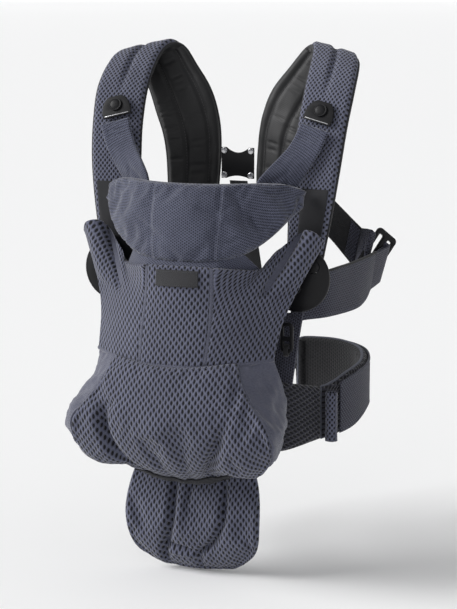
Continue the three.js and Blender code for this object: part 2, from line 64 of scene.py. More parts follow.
# ---------- driving sizes: the CAD model's, some of them fitted further here ----------
STRAP_INNER = [
    (93, -76, 152), (92, -71, 205), (92, -62, 262), (95, -48, 310), (96, -24, 355), (92, 12, 390),
    (78, 34, 394), (58, 31, 370), (38, 25, 342), (27, 22, 308), (24, 19, 272), (24.5, 12, 228),
]
STRAP_OUTER = [
    (130, -76, 152), (140, -74, 205), (148, -67, 262), (152, -54, 310), (154, -33, 350), (149, 0, 379),
    (132, 22, 379), (114, 19, 347), (99, 9, 316), (87, 0, 292), (82, -2, 266), (79, -5, 228),
]
STRAP_HALF = 6.3                  # half of the whole padded strap
STRAP_LENGTH = 470
STRAP_WIDTH = 56
HEAD_HALF_WIDTH = 116
HEAD_STRAP_INNER = [(62, -107, 242), (68, -99, 258), (92, -76, 289), (104, -65.5, 316)]
HEAD_STRAP_OUTER = [(100, -80, 240), (112, -77, 258), (127, -75, 282), (137, -69, 307)]
TAB_CENTRE = (123, -57, 327)
TAB_FACE = Vector((0, -0.9, 0.436))
TAB_LEAN = 0.27
TAB_THICK = 3.2
PANEL_SEAM = 0.36
NECK_FLAT = 0.4
NECKLINE = [
    (41.6, -169, 164.5), (60, -151, 161.5), (80, -129, 160.5), (97, -115, 178), (112, -106, 195),
    (127, -103, 201), (143, -97, 189),
]
SEAT_ROWS = [
    (72, -199, 11, 56.5, 2.5), (89, -207, 13, 26, 0), (116, -209, 7, -10, 0),
    (106, -191, 12, -48, 0), (54, -141, 2, -80, 10),
]
GUSSET_REAR = [(103, -151, 61), (110, -142, 32), (112, -138, 0), (103, -140, -32), (88, -148, -52)]
GUSSET_BULGE = {1: 6, -1: 20}      # the left one is pushed outwards, as worn
GUSSET_START = -0.05              # tucked a little behind the pouch's edge
FLAP_ROWS = [
    (60, -121, 2, -49, 0), (76, -126, -1, -85, 0), (81, -135, -2, -128, 0),
    (73, -127, 0, -166, 1), (44, -113, 0, -191, 6),
]
DISC_CENTRE = (109, -94, 146)
SIDE_STRAP_TOP = [
    (97, -79, 138), (112, -67, 141), (131, -50, 149), (144, -2, 152), (152, 32, 155), (155, 56, 157),
]
SIDE_STRAP_LOW = [(97, -79, 93), (112, -67, 95), (131, -45, 96), (147, 0, 98), (150, 28, 103), (149, 53, 113)]
SIDE_BAND_TOP = [(66, 26, 268), (82, 52, 238), (101, 70, 213), (120, 80, 191), (130, 82, 181)]
SIDE_BAND_LOW = [(60, 26, 218), (76, 50, 192), (94, 68, 170), (112, 77, 146), (121, 80, 134)]
SLIDER_CENTRE = (147, 77, 150)
SLIDER_SHORT = (0.51, 0.6, -0.62)
SLIDER_LONG = (0.2, 0.22, 0.95)
RISER_INNER = [(89, -82, 104), (85, -93, 70), (84, -106, 25)]
RISER_OUTER = [(113, -80, 106), (110, -90, 70), (107, -101, 25)]
CLIP_CENTRE = (106, -118, 83)
BELT_PLAN = [
    (0, -121, -44, 38), (48, -120, -44, 36), (92, -110, -49, 31), (127, -64, -41, 19), (146, -22, -34, 30),
    (149, 22, -20, 36), (133, 64, -24, 42), (98, 92, -27, 44), (56, 104, -25, 42),
    (47, 96.5, -22, 40),
]
BELT_CREASE = 3                   # station of the plan where the front pad ends and the side pad starts
BELT_HALF = 5.5
KEEPER_CENTRE = (142, -67, -14)
BUCKLE_Y = 107
BUCKLE_Z = 14


# ---------- curves and surfaces ----------
def catmull(points, side=1):
    """Smooth curve through points, with its parameter shared evenly between them."""
    knots = np.array(points, float) * (side, 1, 1)
    spans = len(knots) - 1
    ends = np.vstack([2 * knots[0] - knots[1], knots, 2 * knots[-1] - knots[-2]])

    def at(t):
        place = np.clip(np.asarray(t, float), 0, 1) * spans
        first = np.minimum(place.astype(int), spans - 1)
        w = (place - first)[..., None]
        a, b, c, d = (ends[first + k] for k in range(4))
        return b + 0.5 * w * (c - a + w * (2 * a - 5 * b + 4 * c - d + w * (3 * b - 3 * c + d - a)))

    return at


def ribbon(edge_a, edge_b, side=1):
    """Surface between two edge curves; its normal stays outward on both sides of the carrier."""
    first, second = catmull(edge_a, side), catmull(edge_b, side)

    def at(u, v):
        w = (u if side > 0 else 1 - u)[..., None]
        return first(v) * (1 - w) + second(v) * w

    return at


def ribbon_of(first, second):
    """Ruled surface between two curves."""
    return lambda u, v: first(v) * (1 - u[..., None]) + second(v) * u[..., None]


def lofted(rows):
    """Surface whose columns run smoothly through rows; a row is a function of s, from -1 to 1."""

    def at(u, v):
        s = 2 * u - 1
        placed = [row(s) for row in rows]
        ends = np.stack([2 * placed[0] - placed[1], *placed, 2 * placed[-1] - placed[-2]])
        place = np.clip(v, 0, 1) * (len(rows) - 1)
        first = np.minimum(place.astype(int), len(rows) - 2)
        w = (place - first)[..., None]
        a, b, c, d = (np.take_along_axis(ends, (first + k)[None, ..., None], 0)[0] for k in range(4))
        return b + 0.5 * w * (c - a + w * (2 * a - 5 * b + 4 * c - d + w * (3 * b - 3 * c + d - a)))

    return at


def bowed_rows(table):
    """Rows of half width, y, its rise towards the sides, z and its rise."""

    def row(half, y, y_rise, z, z_rise):
        return lambda s: np.stack([half * s, y + y_rise * s * s, z + z_rise * s * s], -1)

    return [row(*values) for values in table]


def patch(surface, u0, u1, v0, v1):
    return lambda u, v: surface(u0 + (u1 - u0) * u, v0 + (v1 - v0) * v)


def normals(surface, u, v, step=0.004):
    du = surface(np.minimum(u + step, 1), v) - surface(np.maximum(u - step, 0), v)
    dv = surface(u, np.minimum(v + step, 1)) - surface(u, np.maximum(v - step, 0))
    n = np.cross(du, dv)
    return n / np.maximum(np.linalg.norm(n, axis=-1, keepdims=True), 1e-9)


def panel_row(index):
    def row(s):
        r = np.abs(s)
        if index == 0:
            p = np.stack([103.5 * r, -199 + 45 * r**2, 58 + 7 * r**2], -1)
        elif index == 1:
            p = np.stack([108 * r, -190 + 54 * r**2, 93 + 11 * r**3], -1)
        elif index == 2:
            p = np.stack([104 * r + 19 * r**4, -182 + 67 * r**1.9, 128 + 18 * r**3], -1)
        else:
            flat = np.stack([104 * r, -175 + 37.5 * r**2, 165.5 - 6 * r**2], -1)
            curve = catmull(NECKLINE)((r - NECK_FLAT) / (1 - NECK_FLAT))
            p = np.where((r < NECK_FLAT)[..., None], flat, curve)
        return p * np.stack([np.where(s < 0, -1.0, 1.0), np.ones_like(s), np.ones_like(s)], -1)

    return row


panel_surface = lofted([panel_row(k) for k in range(4)])
seat_rows = lofted(bowed_rows(SEAT_ROWS))
SEAT_SHARE = 72 / 103.5            # the pouch takes this share of the panel's bottom seam


def seat_surface(u, v):
    """The pouch, drawn in to the panel's bottom edge along its top seam."""
    seam = panel_surface((1 + SEAT_SHARE * (2 * u - 1)) / 2, np.zeros_like(v))
    near = (np.clip(1 - v / 0.14, 0, 1) ** 2)[..., None]
    return seat_rows(u, v) * (1 - near) + seam * near


flap_surface = lofted(bowed_rows(FLAP_ROWS))


def head_half(u, v):
    s = 2 * u - 1
    crown = np.maximum(0, (1 - (2 * v - 1) ** 2) * (1 - s**4))
    return (8 + 14 * np.sqrt(crown)) / 2


def head_surface(u, v):
    s = 2 * u - 1
    r = np.abs(s)
    low = 167 + 62 * r**3.2
    high = 253 + 2 * s * s - 15 * r**8
    y = -174 + 17 * v + 68 * r**2.2 + head_half(u, np.full_like(v, 0.5))
    return np.stack([HEAD_HALF_WIDTH * s, y, low + (high - low) * v], -1)


def gusset_surface(side):
    rear = catmull(GUSSET_REAR, side)

    def at(u, v):
        edge = seat_surface(np.full_like(u, (side + 1) / 2), 0.015 + 0.845 * v)
        reach = u if side > 0 else 1 - u
        w = GUSSET_START + (1 - GUSSET_START) * reach
        p = edge * (1 - w[..., None]) + rear(v) * w[..., None]
        p[..., 0] += side * GUSSET_BULGE[side] * np.sin(np.pi * reach) * np.sin(np.pi * v**1.3)
        seam_s = side * (SEAT_SHARE + (1 - SEAT_SHARE) * w)
        seam = panel_surface((1 + seam_s) / 2, np.zeros_like(v))
        near = (np.clip(1 - v / 0.16, 0, 1) ** 2)[..., None]
        return p * (1 - near) + seam * near

    return at


def belt_side(side, start, end):
    low = catmull([(x, y, a) for x, y, a, _ in BELT_PLAN], side)
    high = catmull([(x, y, b) for x, y, _, b in BELT_PLAN], side)

    def at(u, v):
        t = start + (end - start) * ((1 - v) if side > 0 else v)
        w = u[..., None]
        return low(t) * (1 - w) + high(t) * w

    return at


def belt_front(u, v):
    left = [(-x, y, a, b) for x, y, a, b in BELT_PLAN[1:BELT_CREASE + 1]][::-1]
    plan = left + BELT_PLAN[:BELT_CREASE + 1]
    t = 0.002 + 0.996 * v
    low = catmull([(x, y, a) for x, y, a, _ in plan])(t)
    high = catmull([(x, y, b) for x, y, _, b in plan])(t)
    w = u[..., None]
    return low * (1 - w) + high * w


# ---------- relief helpers ----------
def groove(distance, width):
    return np.exp(-((distance / width) ** 2))


def ripples(x, y, wavelength, seed):
    """Gentle uneven waves between -1 and 1, the same on every run."""
    rng = np.random.default_rng(seed)
    total = np.zeros_like(x)
    for _ in range(7):
        angle = rng.uniform(0, 2 * np.pi)
        size = wavelength * rng.uniform(0.7, 1.6)
        phase = rng.uniform(0, 2 * np.pi)
        total += np.sin(2 * np.pi * (x * np.cos(angle) + y * np.sin(angle)) / size + phase)
    return total / 4


def fold(cloth, surface, path, depth, width):
    """A valley along a path of (s, v) points drawn on a surface; negative depth makes a ridge."""
    t = np.linspace(0, 1, 60)
    way = catmull([(s, v, 0) for s, v in path])(t)
    line = surface((way[:, 0] + 1) / 2, way[:, 1])
    gap = np.linalg.norm(cloth.place[..., None, :] - line, axis=-1)
    nearest = gap.argmin(-1)
    taper = np.minimum(1, 3.2 * np.minimum(t, 1 - t) + 0.05)
    return -depth * groove(gap.min(-1), width) * taper[nearest]


def with_folds(total, cloth, surface, folds):
    """A relief with a table of folds added; a row is a path, a depth and a width."""
    for path, depth, width in folds:
        total = total + fold(cloth, surface, path, depth, width)
    return total


# ---------- meshes ----------
def stations(length, step, rim):
    """Shares of a length: a regular step, and closer ones inside the rounded rim at both ends."""
    near = rim * (1 - np.cos(np.linspace(0, np.pi / 2, 6)[:-1]))
    middle = np.linspace(rim, length - rim, max(3, round((length - 2 * rim) / step) + 1))
    return np.concatenate([near, middle, length - near[::-1]]) / length


def new_object(name, points, faces, uv=None, smooth=True):
    mesh = bpy.data.meshes.new(name)
    mesh.from_pydata((np.asarray(points) * MM).tolist(), [], [list(f) for f in faces])
    mesh.polygons.foreach_set("use_smooth", [smooth] * len(mesh.polygons))
    if uv is not None:
        layer = mesh.uv_layers.new(name="cloth")
        corner = np.zeros(len(mesh.loops), np.int32)
        mesh.loops.foreach_get("vertex_index", corner)
        layer.data.foreach_set("uv", (np.asarray(uv)[corner] * MM).astype(np.float32).ravel())
    mesh.validate()
    mesh.update()
    made = bpy.data.objects.new(name, mesh)
    bpy.context.scene.collection.objects.link(made)
    return made


class Cloth:
    """Closed padded shell on a surface: high and low are its two faces' heights along the normal, and
    both round off to meet at middle, rim millimetres inside the edge."""

    def __init__(self, surface, size, high, low, rim=3.0, step=2.5, middle=0.0, relief=None, under=None,
                 flip=False):
        width, length = size
        self.flip = flip
        self.across = stations(width, step, rim)
        self.along = stations(length, step, rim)
        self.u, self.v = np.meshgrid(self.across, self.along)
        self.s = 2 * self.u - 1
        self.place = surface(self.u, self.v)
        self.normal = normals(surface, self.u, self.v) * (-1 if flip else 1)
        dx = np.linalg.norm(np.diff(self.place, axis=1), axis=-1)
        dy = np.linalg.norm(np.diff(self.place, axis=0), axis=-1)
        x = np.concatenate([np.zeros((len(self.along), 1)), np.cumsum(dx, 1)], 1)
        y = np.concatenate([np.zeros((1, len(self.across))), np.cumsum(dy, 0)], 0)
        edge = np.minimum(np.minimum(x, x[:, -1:] - x), np.minimum(y, y[-1:] - y))
        self.full = np.sqrt(np.clip(1 - (1 - np.minimum(edge / rim, 1)) ** 2, 0, 1))
        self.x, self.y = x - x[:, -1:] / 2, y
        self.width, self.length = float(x[:, -1].mean()), float(y[-1].mean())
        self.widest, self.longest = float(x[:, -1].max()), float(y[-1].max())
        self.area = float(self.cell_areas().sum())
        top = high(self.u, self.v) if callable(high) else high
        bottom = low(self.u, self.v) if callable(low) else low
        lift = relief(self) if relief else 0.0
        drop = under(self) if under else 0.0
        self.top = middle + (top - middle + lift) * self.full
        self.bottom = middle + (bottom - middle + drop) * self.full
        self.front = self.place + self.normal * self.top[..., None]
        self.back = self.place + self.normal * self.bottom[..., None]

    def cell_areas(self):
        a, b = self.place[1:, :-1] - self.place[:-1, :-1], self.place[:-1, 1:] - self.place[:-1, :-1]
        return np.linalg.norm(np.cross(a, b), axis=-1)

    def build(self, name, front_material, back_material=None):
        ny, nx = self.u.shape
        front = np.arange(ny * nx).reshape(ny, nx)
        back = front.copy()
        inner = np.arange((ny - 2) * (nx - 2)).reshape(ny - 2, nx - 2)
        back[1:-1, 1:-1] = ny * nx + inner
        points = np.concatenate([self.front.reshape(-1, 3), self.back[1:-1, 1:-1].reshape(-1, 3)])
        flat = np.stack([self.x, self.y], -1)
        uv = np.concatenate([flat.reshape(-1, 2), flat[1:-1, 1:-1].reshape(-1, 2)])

        def quads(grid, turned):
            a, b, c, d = grid[:-1, :-1], grid[:-1, 1:], grid[1:, 1:], grid[1:, :-1]
            order = (a, d, c, b) if turned else (a, b, c, d)
            return np.stack(order, -1).reshape(-1, 4)

        faces = np.concatenate([quads(front, self.flip), quads(back, not self.flip)])
        self.object = new_object(name, points, faces, uv)
        paint(self.object, front_material, back_material)
        if back_material:
            half = (ny - 1) * (nx - 1)
            index = np.repeat([0, 1], half)
            self.object.data.polygons.foreach_set("material_index", index)
        return self.object

    def refresh(self):
        """Read the faces back from the mesh, after a simulation has moved it."""
        ny, nx = self.u.shape
        points = np.zeros(len(self.object.data.vertices) * 3, np.float32)
        self.object.data.vertices.foreach_get("co", points)
        points = points.reshape(-1, 3).astype(float) / MM
        self.front = points[: ny * nx].reshape(ny, nx, 3)
        self.back[1:-1, 1:-1] = points[ny * nx:].reshape(ny - 2, nx - 2, 3)

    def on(self, u, v, lift=0.0, back=False):
        """Points on a face at (u, v), lifted off it, and the normals there."""
        u, v = np.broadcast_arrays(np.asarray(u, float), np.asarray(v, float))
        face = self.back if back else self.front
        i = np.clip(np.searchsorted(self.across, u) - 1, 0, len(self.across) - 2)
        j = np.clip(np.searchsorted(self.along, v) - 1, 0, len(self.along) - 2)
        a = ((u - self.across[i]) / (self.across[i + 1] - self.across[i]))[..., None]
        b = ((v - self.along[j]) / (self.along[j + 1] - self.along[j]))[..., None]
        p, q, r, t = face[j, i], face[j, i + 1], face[j + 1, i], face[j + 1, i + 1]
        point = (p * (1 - a) + q * a) * (1 - b) + (r * (1 - a) + t * a) * b
        n = np.cross(q - p, r - p)
        n = n / np.maximum(np.linalg.norm(n, axis=-1, keepdims=True), 1e-9)
        n = -n if back != self.flip else n
        return point + n * lift, n


def resampled(points, step):
    points = np.asarray(points, float)
    length = np.concatenate([[0], np.cumsum(np.linalg.norm(np.diff(points, axis=0), axis=1))])
    at = np.linspace(0, length[-1], max(2, round(length[-1] / step) + 1))
    return np.stack([np.interp(at, length, points[:, k]) for k in range(3)], -1)


def ring_quads(rings, sides, closed=False, first=0):
    """Quads from each ring of points to the next; closed joins the last ring to the first."""
    total = rings * sides
    quads = []
    for k in range(rings if closed else rings - 1):
        for m in range(sides):
            a, b = k * sides + m, k * sides + (m + 1) % sides
            quads.append((first + a, first + b, first + (b + sides) % total, first + (a + sides) % total))
    return quads


def end_caps(rings, sides, first=0):
    last = first + (rings - 1) * sides
    return [tuple(range(first, first + sides))[::-1], tuple(range(last, last + sides))]


def tube(name, points, normal, half_width, half_height, material, step=3.0, sides=10, closed=False):
    """Cord, piping or flat binding: an ellipse swept along points, half_height along the normal."""
    points = np.asarray(points, float)
    normal = np.broadcast_to(np.asarray(normal, float), points.shape)
    both = resampled(np.concatenate([points, points[:1]]) if closed else points, step)
    if closed:
        both = both[:-1]
    nearest = np.linalg.norm(both[:, None] - points[None], axis=-1).argmin(1)
    up = normal[nearest]
    if closed:
        along = np.roll(both, -1, 0) - np.roll(both, 1, 0)
    else:
        along = np.gradient(both, axis=0)
    along = along / np.linalg.norm(along, axis=1, keepdims=True)
    across = np.cross(along, up)
    across = across / np.maximum(np.linalg.norm(across, axis=1, keepdims=True), 1e-9)
    up = np.cross(across, along)
    turn = np.linspace(0, 2 * np.pi, sides, endpoint=False)
    rings, count = [], len(both)
    for k in range(count):
        ring = both[k] + np.outer(np.cos(turn), across[k]) * half_width
        rings.append(ring + np.outer(np.sin(turn), up[k]) * half_height)
    verts = np.concatenate(rings)
    faces = ring_quads(count, sides, closed)
    if not closed:
        faces += end_caps(count, sides)
    angle = np.tile(turn * max(half_width, half_height), count)
    uv = np.stack([angle, np.repeat(np.arange(count) * step, sides)], -1)
    made = new_object(name, verts, faces, uv)
    paint(made, material)
    return made


def edge_binding(name, surface, count, half_width, half_height, material, step):
    """Binding all the way round a surface's edge."""
    t = np.linspace(0, 1, count)
    zero, one = np.zeros_like(t), np.ones_like(t)
    u = np.concatenate([zero, t[::8], one, 1 - t[::8]])
    v = np.concatenate([t, one[::8], 1 - t, zero[::8]])
    loop, n = surface(u, v), normals(surface, u, v)
    keep = np.concatenate([[True], np.linalg.norm(np.diff(loop, axis=0), axis=1) > 0.4])
    return tube(name, loop[keep][:-1], n[keep][:-1], half_width, half_height, material, step, closed=True)


def stitches(name, paths, material, length=2.9, gap=1.5, radius=0.34):
    """Rows of sewing: each path is (points, normals), and each stitch a short thread lying on it."""
    verts, faces, sides = [], [], 6
    turn = np.linspace(0, 2 * np.pi, sides, endpoint=False)
    for points, normal in paths:
        fine = resampled(points, 0.5)
        nearest = np.linalg.norm(fine[:, None] - np.asarray(points)[None], axis=-1).argmin(1)
        up_all = np.broadcast_to(normal, np.shape(points))[nearest]
        pitch = round((length + gap) / 0.5)
        reach = round(length / 0.5)
        for start in range(2, len(fine) - reach - 1, pitch):
            a, b, up = fine[start], fine[start + reach], up_all[start]
            along = (b - a) / np.linalg.norm(b - a)
            across = np.cross(along, up)
            rings = []
            for share, size, sink in ((0, 0.3, 0.5), (0.2, 1, 0), (0.8, 1, 0), (1, 0.3, 0.5)):
                centre = a + (b - a) * share - up * radius * sink
                ring = centre + np.outer(np.cos(turn), across) * radius * size
                rings.append(ring + np.outer(np.sin(turn), up) * radius * size)
            base = len(verts)
            verts.extend(np.concatenate(rings))
            faces += ring_quads(len(rings), sides, first=base) + end_caps(len(rings), sides, base)
    made = new_object(name, verts, faces, np.zeros((len(verts), 2)))
    paint(made, material)
    return made


def axes(centre, x_axis, y_axis):
    x = Vector(x_axis).normalized()
    z = x.cross(Vector(y_axis)).normalized()
    y = z.cross(x)
    turn = Matrix((x, y, z)).transposed().to_4x4()
    turn.translation = Vector(centre)
    return turn


def plate(name, outline, thickness, bevel, matrix, material, holes=()):
    """Flat moulded part with rounded edges, from an outline in its own plane and holes through it."""
    curve = bpy.data.curves.new(name, "CURVE")
    curve.dimensions = "2D"
    curve.fill_mode = "BOTH"
    curve.extrude = (thickness / 2 - bevel) * MM
    curve.bevel_depth = bevel * MM
    curve.bevel_resolution = 3
    curve.offset = -bevel * MM
    for ring in (outline, *holes):
        spline = curve.splines.new("POLY")
        spline.points.add(len(ring) - 1)
        for point, (x, y) in zip(spline.points, ring):
            point.co = (x * MM, y * MM, 0, 1)
        spline.use_cyclic_u = True
    source = bpy.data.objects.new(name, curve)
    bpy.context.scene.collection.objects.link(source)
    bpy.context.view_layer.update()
    mesh = bpy.data.meshes.new_from_object(source.evaluated_get(bpy.context.evaluated_depsgraph_get()))
    bpy.data.objects.remove(source)
    place = matrix.copy()
    place.translation = matrix.translation * MM
    mesh.transform(place)
    weld(mesh)
    made = bpy.data.objects.new(name, mesh)
    bpy.context.scene.collection.objects.link(made)
    smooth_by_angle(mesh, 50)
    paint(made, material)
    return made


def weld(mesh):
    work = bmesh.new()
    work.from_mesh(mesh)
    bmesh.ops.remove_doubles(work, verts=work.verts, dist=1e-6)
    bmesh.ops.recalc_face_normals(work, faces=work.faces)
    work.to_mesh(mesh)
    work.free()


def smooth_by_angle(mesh, degrees):
    mesh.polygons.foreach_set("use_smooth", [True] * len(mesh.polygons))
    mesh.set_sharp_from_angle(angle=math.radians(degrees))


def turned(name, profile, centre, axis, material, sides=56):
    """Solid of revolution: profile points are (radius, height), the height along axis."""
    axis = Vector(axis).normalized()
    helper = Vector((0, 0, 1)) if abs(axis.z) < 0.9 else Vector((1, 0, 0))
    x = np.array(axis.cross(helper).normalized())
    n = np.array(axis)
    y = np.cross(n, x)
    turn = np.linspace(0, 2 * np.pi, sides, endpoint=False)
    centre = np.array(centre, float)
    verts = []
    for r, h in profile:
        verts.append(centre + n * h + r * (np.outer(np.cos(turn), x) + np.outer(np.sin(turn), y)))
    faces = ring_quads(len(profile), sides) + end_caps(len(profile), sides)
    made = new_object(name, np.concatenate(verts), faces)
    weld(made.data)
    smooth_by_angle(made.data, 40)
    paint(made, material)
    return made


def arc(cx, cy, radius, start, end, count=10):
    turn = np.radians(np.linspace(start, end, count))
    return [(cx + radius * math.cos(t), cy + radius * math.sin(t)) for t in turn]


def rounded(width, height, radius, cx=0.0, cy=0.0):
    w, h = width / 2 - radius, height / 2 - radius
    corners = ((w, -h, -90), (w, h, 0), (-w, h, 90), (-w, -h, 180))
    return [p for x, y, a in corners for p in arc(cx + x, cy + y, radius, a, a + 90, 7)]


def circle(radius, cx=0.0, cy=0.0, count=40):
    return arc(cx, cy, radius, 0, 360, count + 1)[:-1]


# ---------- materials ----------
def linear(red, green, blue):
    """Colour from 0-255 display values."""
    shares = [c / 255 for c in (red, green, blue)]
    return [c / 12.92 if c <= 0.04045 else ((c + 0.055) / 1.055) ** 2.4 for c in shares]


class Shade:
    """One material and short names for the nodes that make it."""

    def __init__(self, name, roughness, metallic=0.0, sheen=0.0, coat=0.0, specular=0.5):
        self.material = bpy.data.materials.new(name)
        self.material.use_nodes = True
        self.tree = self.material.node_tree
        self.shader = self.tree.nodes["Principled BSDF"]
        for socket, value in (
            ("Roughness", roughness), ("Metallic", metallic), ("Sheen Weight", sheen),
            ("Sheen Roughness", 0.45), ("Coat Weight", coat), ("Coat Roughness", 0.12),
            ("Specular IOR Level", specular),
        ):
            self.shader.inputs[socket].default_value = value
        cloth = self.node("ShaderNodeUVMap")
        cloth.uv_map = "cloth"
        parts = self.node("ShaderNodeSeparateXYZ")
        self.link(cloth.outputs[0], parts.inputs[0])
        self.solid = self.node("ShaderNodeTexCoord").outputs["Object"]
        self.cloth = cloth.outputs[0]
        self.x = self.math("MULTIPLY", parts.outputs[0], 1000)
        self.y = self.math("MULTIPLY", parts.outputs[1], 1000)

    def node(self, kind):
        return self.tree.nodes.new(kind)

    def link(self, source, target):
        if isinstance(source, bpy.types.NodeSocket):
            self.tree.links.new(source, target)
        else:
            target.default_value = source

    def math(self, operation, a, b=0.0, c=0.0, clamp=False):
        made = self.node("ShaderNodeMath")
        made.operation = operation
        made.use_clamp = clamp
        for value, socket in zip((a, b, c), made.inputs):
            self.link(value, socket)
        return made.outputs[0]

    def madd(self, a, b, c, clamp=False):
        """a * b + c"""
        return self.math("MULTIPLY_ADD", a, b, c, clamp)

    def times(self, a, b):
        return self.math("MULTIPLY", a, b)

    def plus(self, a, b):
        return self.math("ADD", a, b)

    def minus(self, a, b):
        return self.math("SUBTRACT", a, b)

    def noise(self, scale, detail=3.0, vector=None, stretch=None):
        made = self.node("ShaderNodeTexNoise")
        made.inputs["Scale"].default_value = scale
        made.inputs["Detail"].default_value = detail
        vector = vector or self.solid
        if stretch:
            mapping = self.node("ShaderNodeMapping")
            mapping.inputs["Scale"].default_value = stretch
            self.link(vector, mapping.inputs["Vector"])
            vector = mapping.outputs[0]
        self.link(vector, made.inputs["Vector"])
        return made.outputs["Fac"]

    def ramp(self, value, low, high, to_low=0.0, to_high=1.0):
        made = self.node("ShaderNodeMapRange")
        made.interpolation_type = "SMOOTHSTEP"
        for socket, given in (("From Min", low), ("From Max", high), ("To Min", to_low), ("To Max", to_high)):
            made.inputs[socket].default_value = given
        self.link(value, made.inputs["Value"])
        return made.outputs["Result"]

    def mix(self, factor, a, b):
        made = self.node("ShaderNodeMix")
        made.data_type = "RGBA"
        self.link(factor, made.inputs["Factor"])
        for value, socket in ((a, made.inputs["A"]), (b, made.inputs["B"])):
            self.link([*value, 1] if isinstance(value, list) else value, socket)
        return made.outputs["Result"]

    def bump(self, height, distance, strength=1.0):
        made = self.node("ShaderNodeBump")
        made.inputs["Distance"].default_value = distance * MM
        made.inputs["Strength"].default_value = strength
        self.link(height, made.inputs["Height"])
        self.link(made.outputs[0], self.shader.inputs["Normal"])

    def colour(self, value):
        self.link([*value, 1] if isinstance(value, list) else value, self.shader.inputs["Base Color"])

    def wobble(self, amount):
        """Cloth coordinates in millimetres, moved a little so that no row is quite straight."""
        drift = self.noise(70, 2, self.cloth)
        side = self.noise(55, 2, self.cloth, (1, 1, 1))
        x = self.madd(drift, amount, self.x)
        y = self.madd(side, amount, self.y)
        return x, y

    def lattice(self, x, y, pitch_x, pitch_y, wide, tall):
        """1 inside a staggered lattice of oval holes, 0 on the cloth between them."""
        found = None
        for shift in (0.0, 0.5):
            fx = self.minus(self.math("FRACT", self.madd(x, 1 / pitch_x, shift)), 0.5)
            fy = self.minus(self.math("FRACT", self.madd(y, 1 / pitch_y, shift)), 0.5)
            fx = self.times(fx, 2 * pitch_x / wide)
            fy = self.times(fy, 2 * pitch_y / tall)
            far = self.math("SQRT", self.plus(self.times(fx, fx), self.times(fy, fy)))
            found = far if found is None else self.math("MINIMUM", found, far)
        return found


YARN = linear(102, 105, 124)
YARN_DARK = linear(60, 62, 79)
# Near black for holes, stitch gaps and sunken cells: painted shade in these recesses.
RECESS_SHADE = linear(8, 8, 17)
BLACK_CLOTH = linear(24, 24, 26)


def spacer_mesh(name, pitch_x, pitch_y, wide, tall, slant=0.0, light=YARN, dark=YARN_DARK):
    """Thick knitted mesh: oval holes in staggered rows between ribs of yarn, with painted shade in and next
    to the holes and painted highlights on the ribs.
    """
    shade = Shade(name, roughness=0.82, sheen=0.25, specular=0.3)
    x, y = shade.wobble(1.3)
    if slant:
        x = shade.madd(y, slant, x)
    far = shade.lattice(x, y, pitch_x, pitch_y, wide, tall)
    hole = shade.ramp(far, 0.72, 1.14, 1.0, 0.0)
    # rib rises between the holes for the bump and lightens the colour there: painted highlight on the ribs,
    # painted shade next to the holes.
    rib = shade.ramp(far, 0.9, 1.9)
    yarn = shade.noise(900, 2, shade.cloth, (1.0, 0.3, 1.0))
    patchy = shade.noise(26, 3)
    tone = shade.madd(yarn, 0.7, shade.times(patchy, 0.5))
    tone = shade.madd(rib, 0.45, shade.minus(tone, 0.35), clamp=True)
    cloth = shade.mix(tone, dark, light)
    # The holes are painted near black: painted shade.
    shade.colour(shade.mix(hole, cloth, RECESS_SHADE))
    height = shade.minus(shade.madd(yarn, 0.18, shade.times(rib, 0.5)), hole)
    shade.bump(height, 1.1, 0.9)
    return shade.material


def knit(name, light, dark, wale=1.5, course=1.9, dot_shade=0.5):
    """Fine warp knit: upright wales with small stitch dots, slightly heathered; the dots take painted shade.
    """
    shade = Shade(name, roughness=0.88, sheen=0.35, specular=0.25)
    x, y = shade.wobble(0.7)
    far = shade.lattice(x, y, 2 * wale, course, wale * 0.9, course * 0.55)
    shaded_dot = shade.ramp(far, 0.6, 1.25, 1.0, 0.0)
    heather = shade.noise(620, 2, shade.cloth, (1.0, 0.5, 1.0))
    patchy = shade.noise(30, 3)
    tone = shade.madd(heather, 0.9, shade.madd(patchy, 0.4, -0.2), clamp=True)
    cloth = shade.mix(tone, dark, light)
    # The sunken stitch dots are darkened toward near black: painted shade.
    shade.colour(shade.mix(shade.times(shaded_dot, dot_shade), cloth, RECESS_SHADE))
    height = shade.minus(shade.times(heather, 0.5), shaded_dot)
    shade.bump(height, 0.35, 0.8)
    return shade.material


def jersey(name, light, dark):
    """Smooth stretch jersey with diagonal heather."""
    shade = Shade(name, roughness=0.9, sheen=0.4, specular=0.2)
    x, y = shade.wobble(1.0)
    twill = shade.math("SINE", shade.times(shade.plus(x, y), 2 * math.pi / 1.3))
    heather = shade.noise(500, 3, shade.cloth, (0.7, 1.0, 1.0))
    patchy = shade.noise(24, 3)
    tone = shade.madd(twill, 0.13, shade.madd(heather, 0.8, -0.1))
    tone = shade.madd(patchy, 0.3, tone, clamp=True)
    shade.colour(shade.mix(tone, dark, light))
    shade.bump(shade.madd(twill, 0.3, heather), 0.3, 0.7)
    return shade.material


def ribbed(name, light, dark, row=2.6, dash=3.4):
    """Band with raised rows along it, each a chain of short dashes; its sunken dots take painted shade."""
    shade = Shade(name, roughness=0.85, sheen=0.2, specular=0.3)
    x, y = shade.wobble(0.4)
    rows = shade.math("SINE", shade.times(x, 2 * math.pi / row))
    far = shade.lattice(x, y, 2 * row, dash, row * 0.9, dash * 0.6)
    shaded_dot = shade.ramp(far, 0.6, 1.2, 1.0, 0.0)
    grain = shade.noise(700, 2, shade.cloth, (1.0, 0.6, 1.0))
    tone = shade.madd(rows, 0.25, shade.madd(grain, 0.8, 0.1), clamp=True)
    # The sunken dots are darkened toward near black: painted shade.
    shade.colour(shade.mix(shade.times(shaded_dot, 0.75), shade.mix(tone, dark, light), RECESS_SHADE))
    shade.bump(shade.minus(shade.times(rows, 0.5), shaded_dot), 0.6, 0.8)
    return shade.material


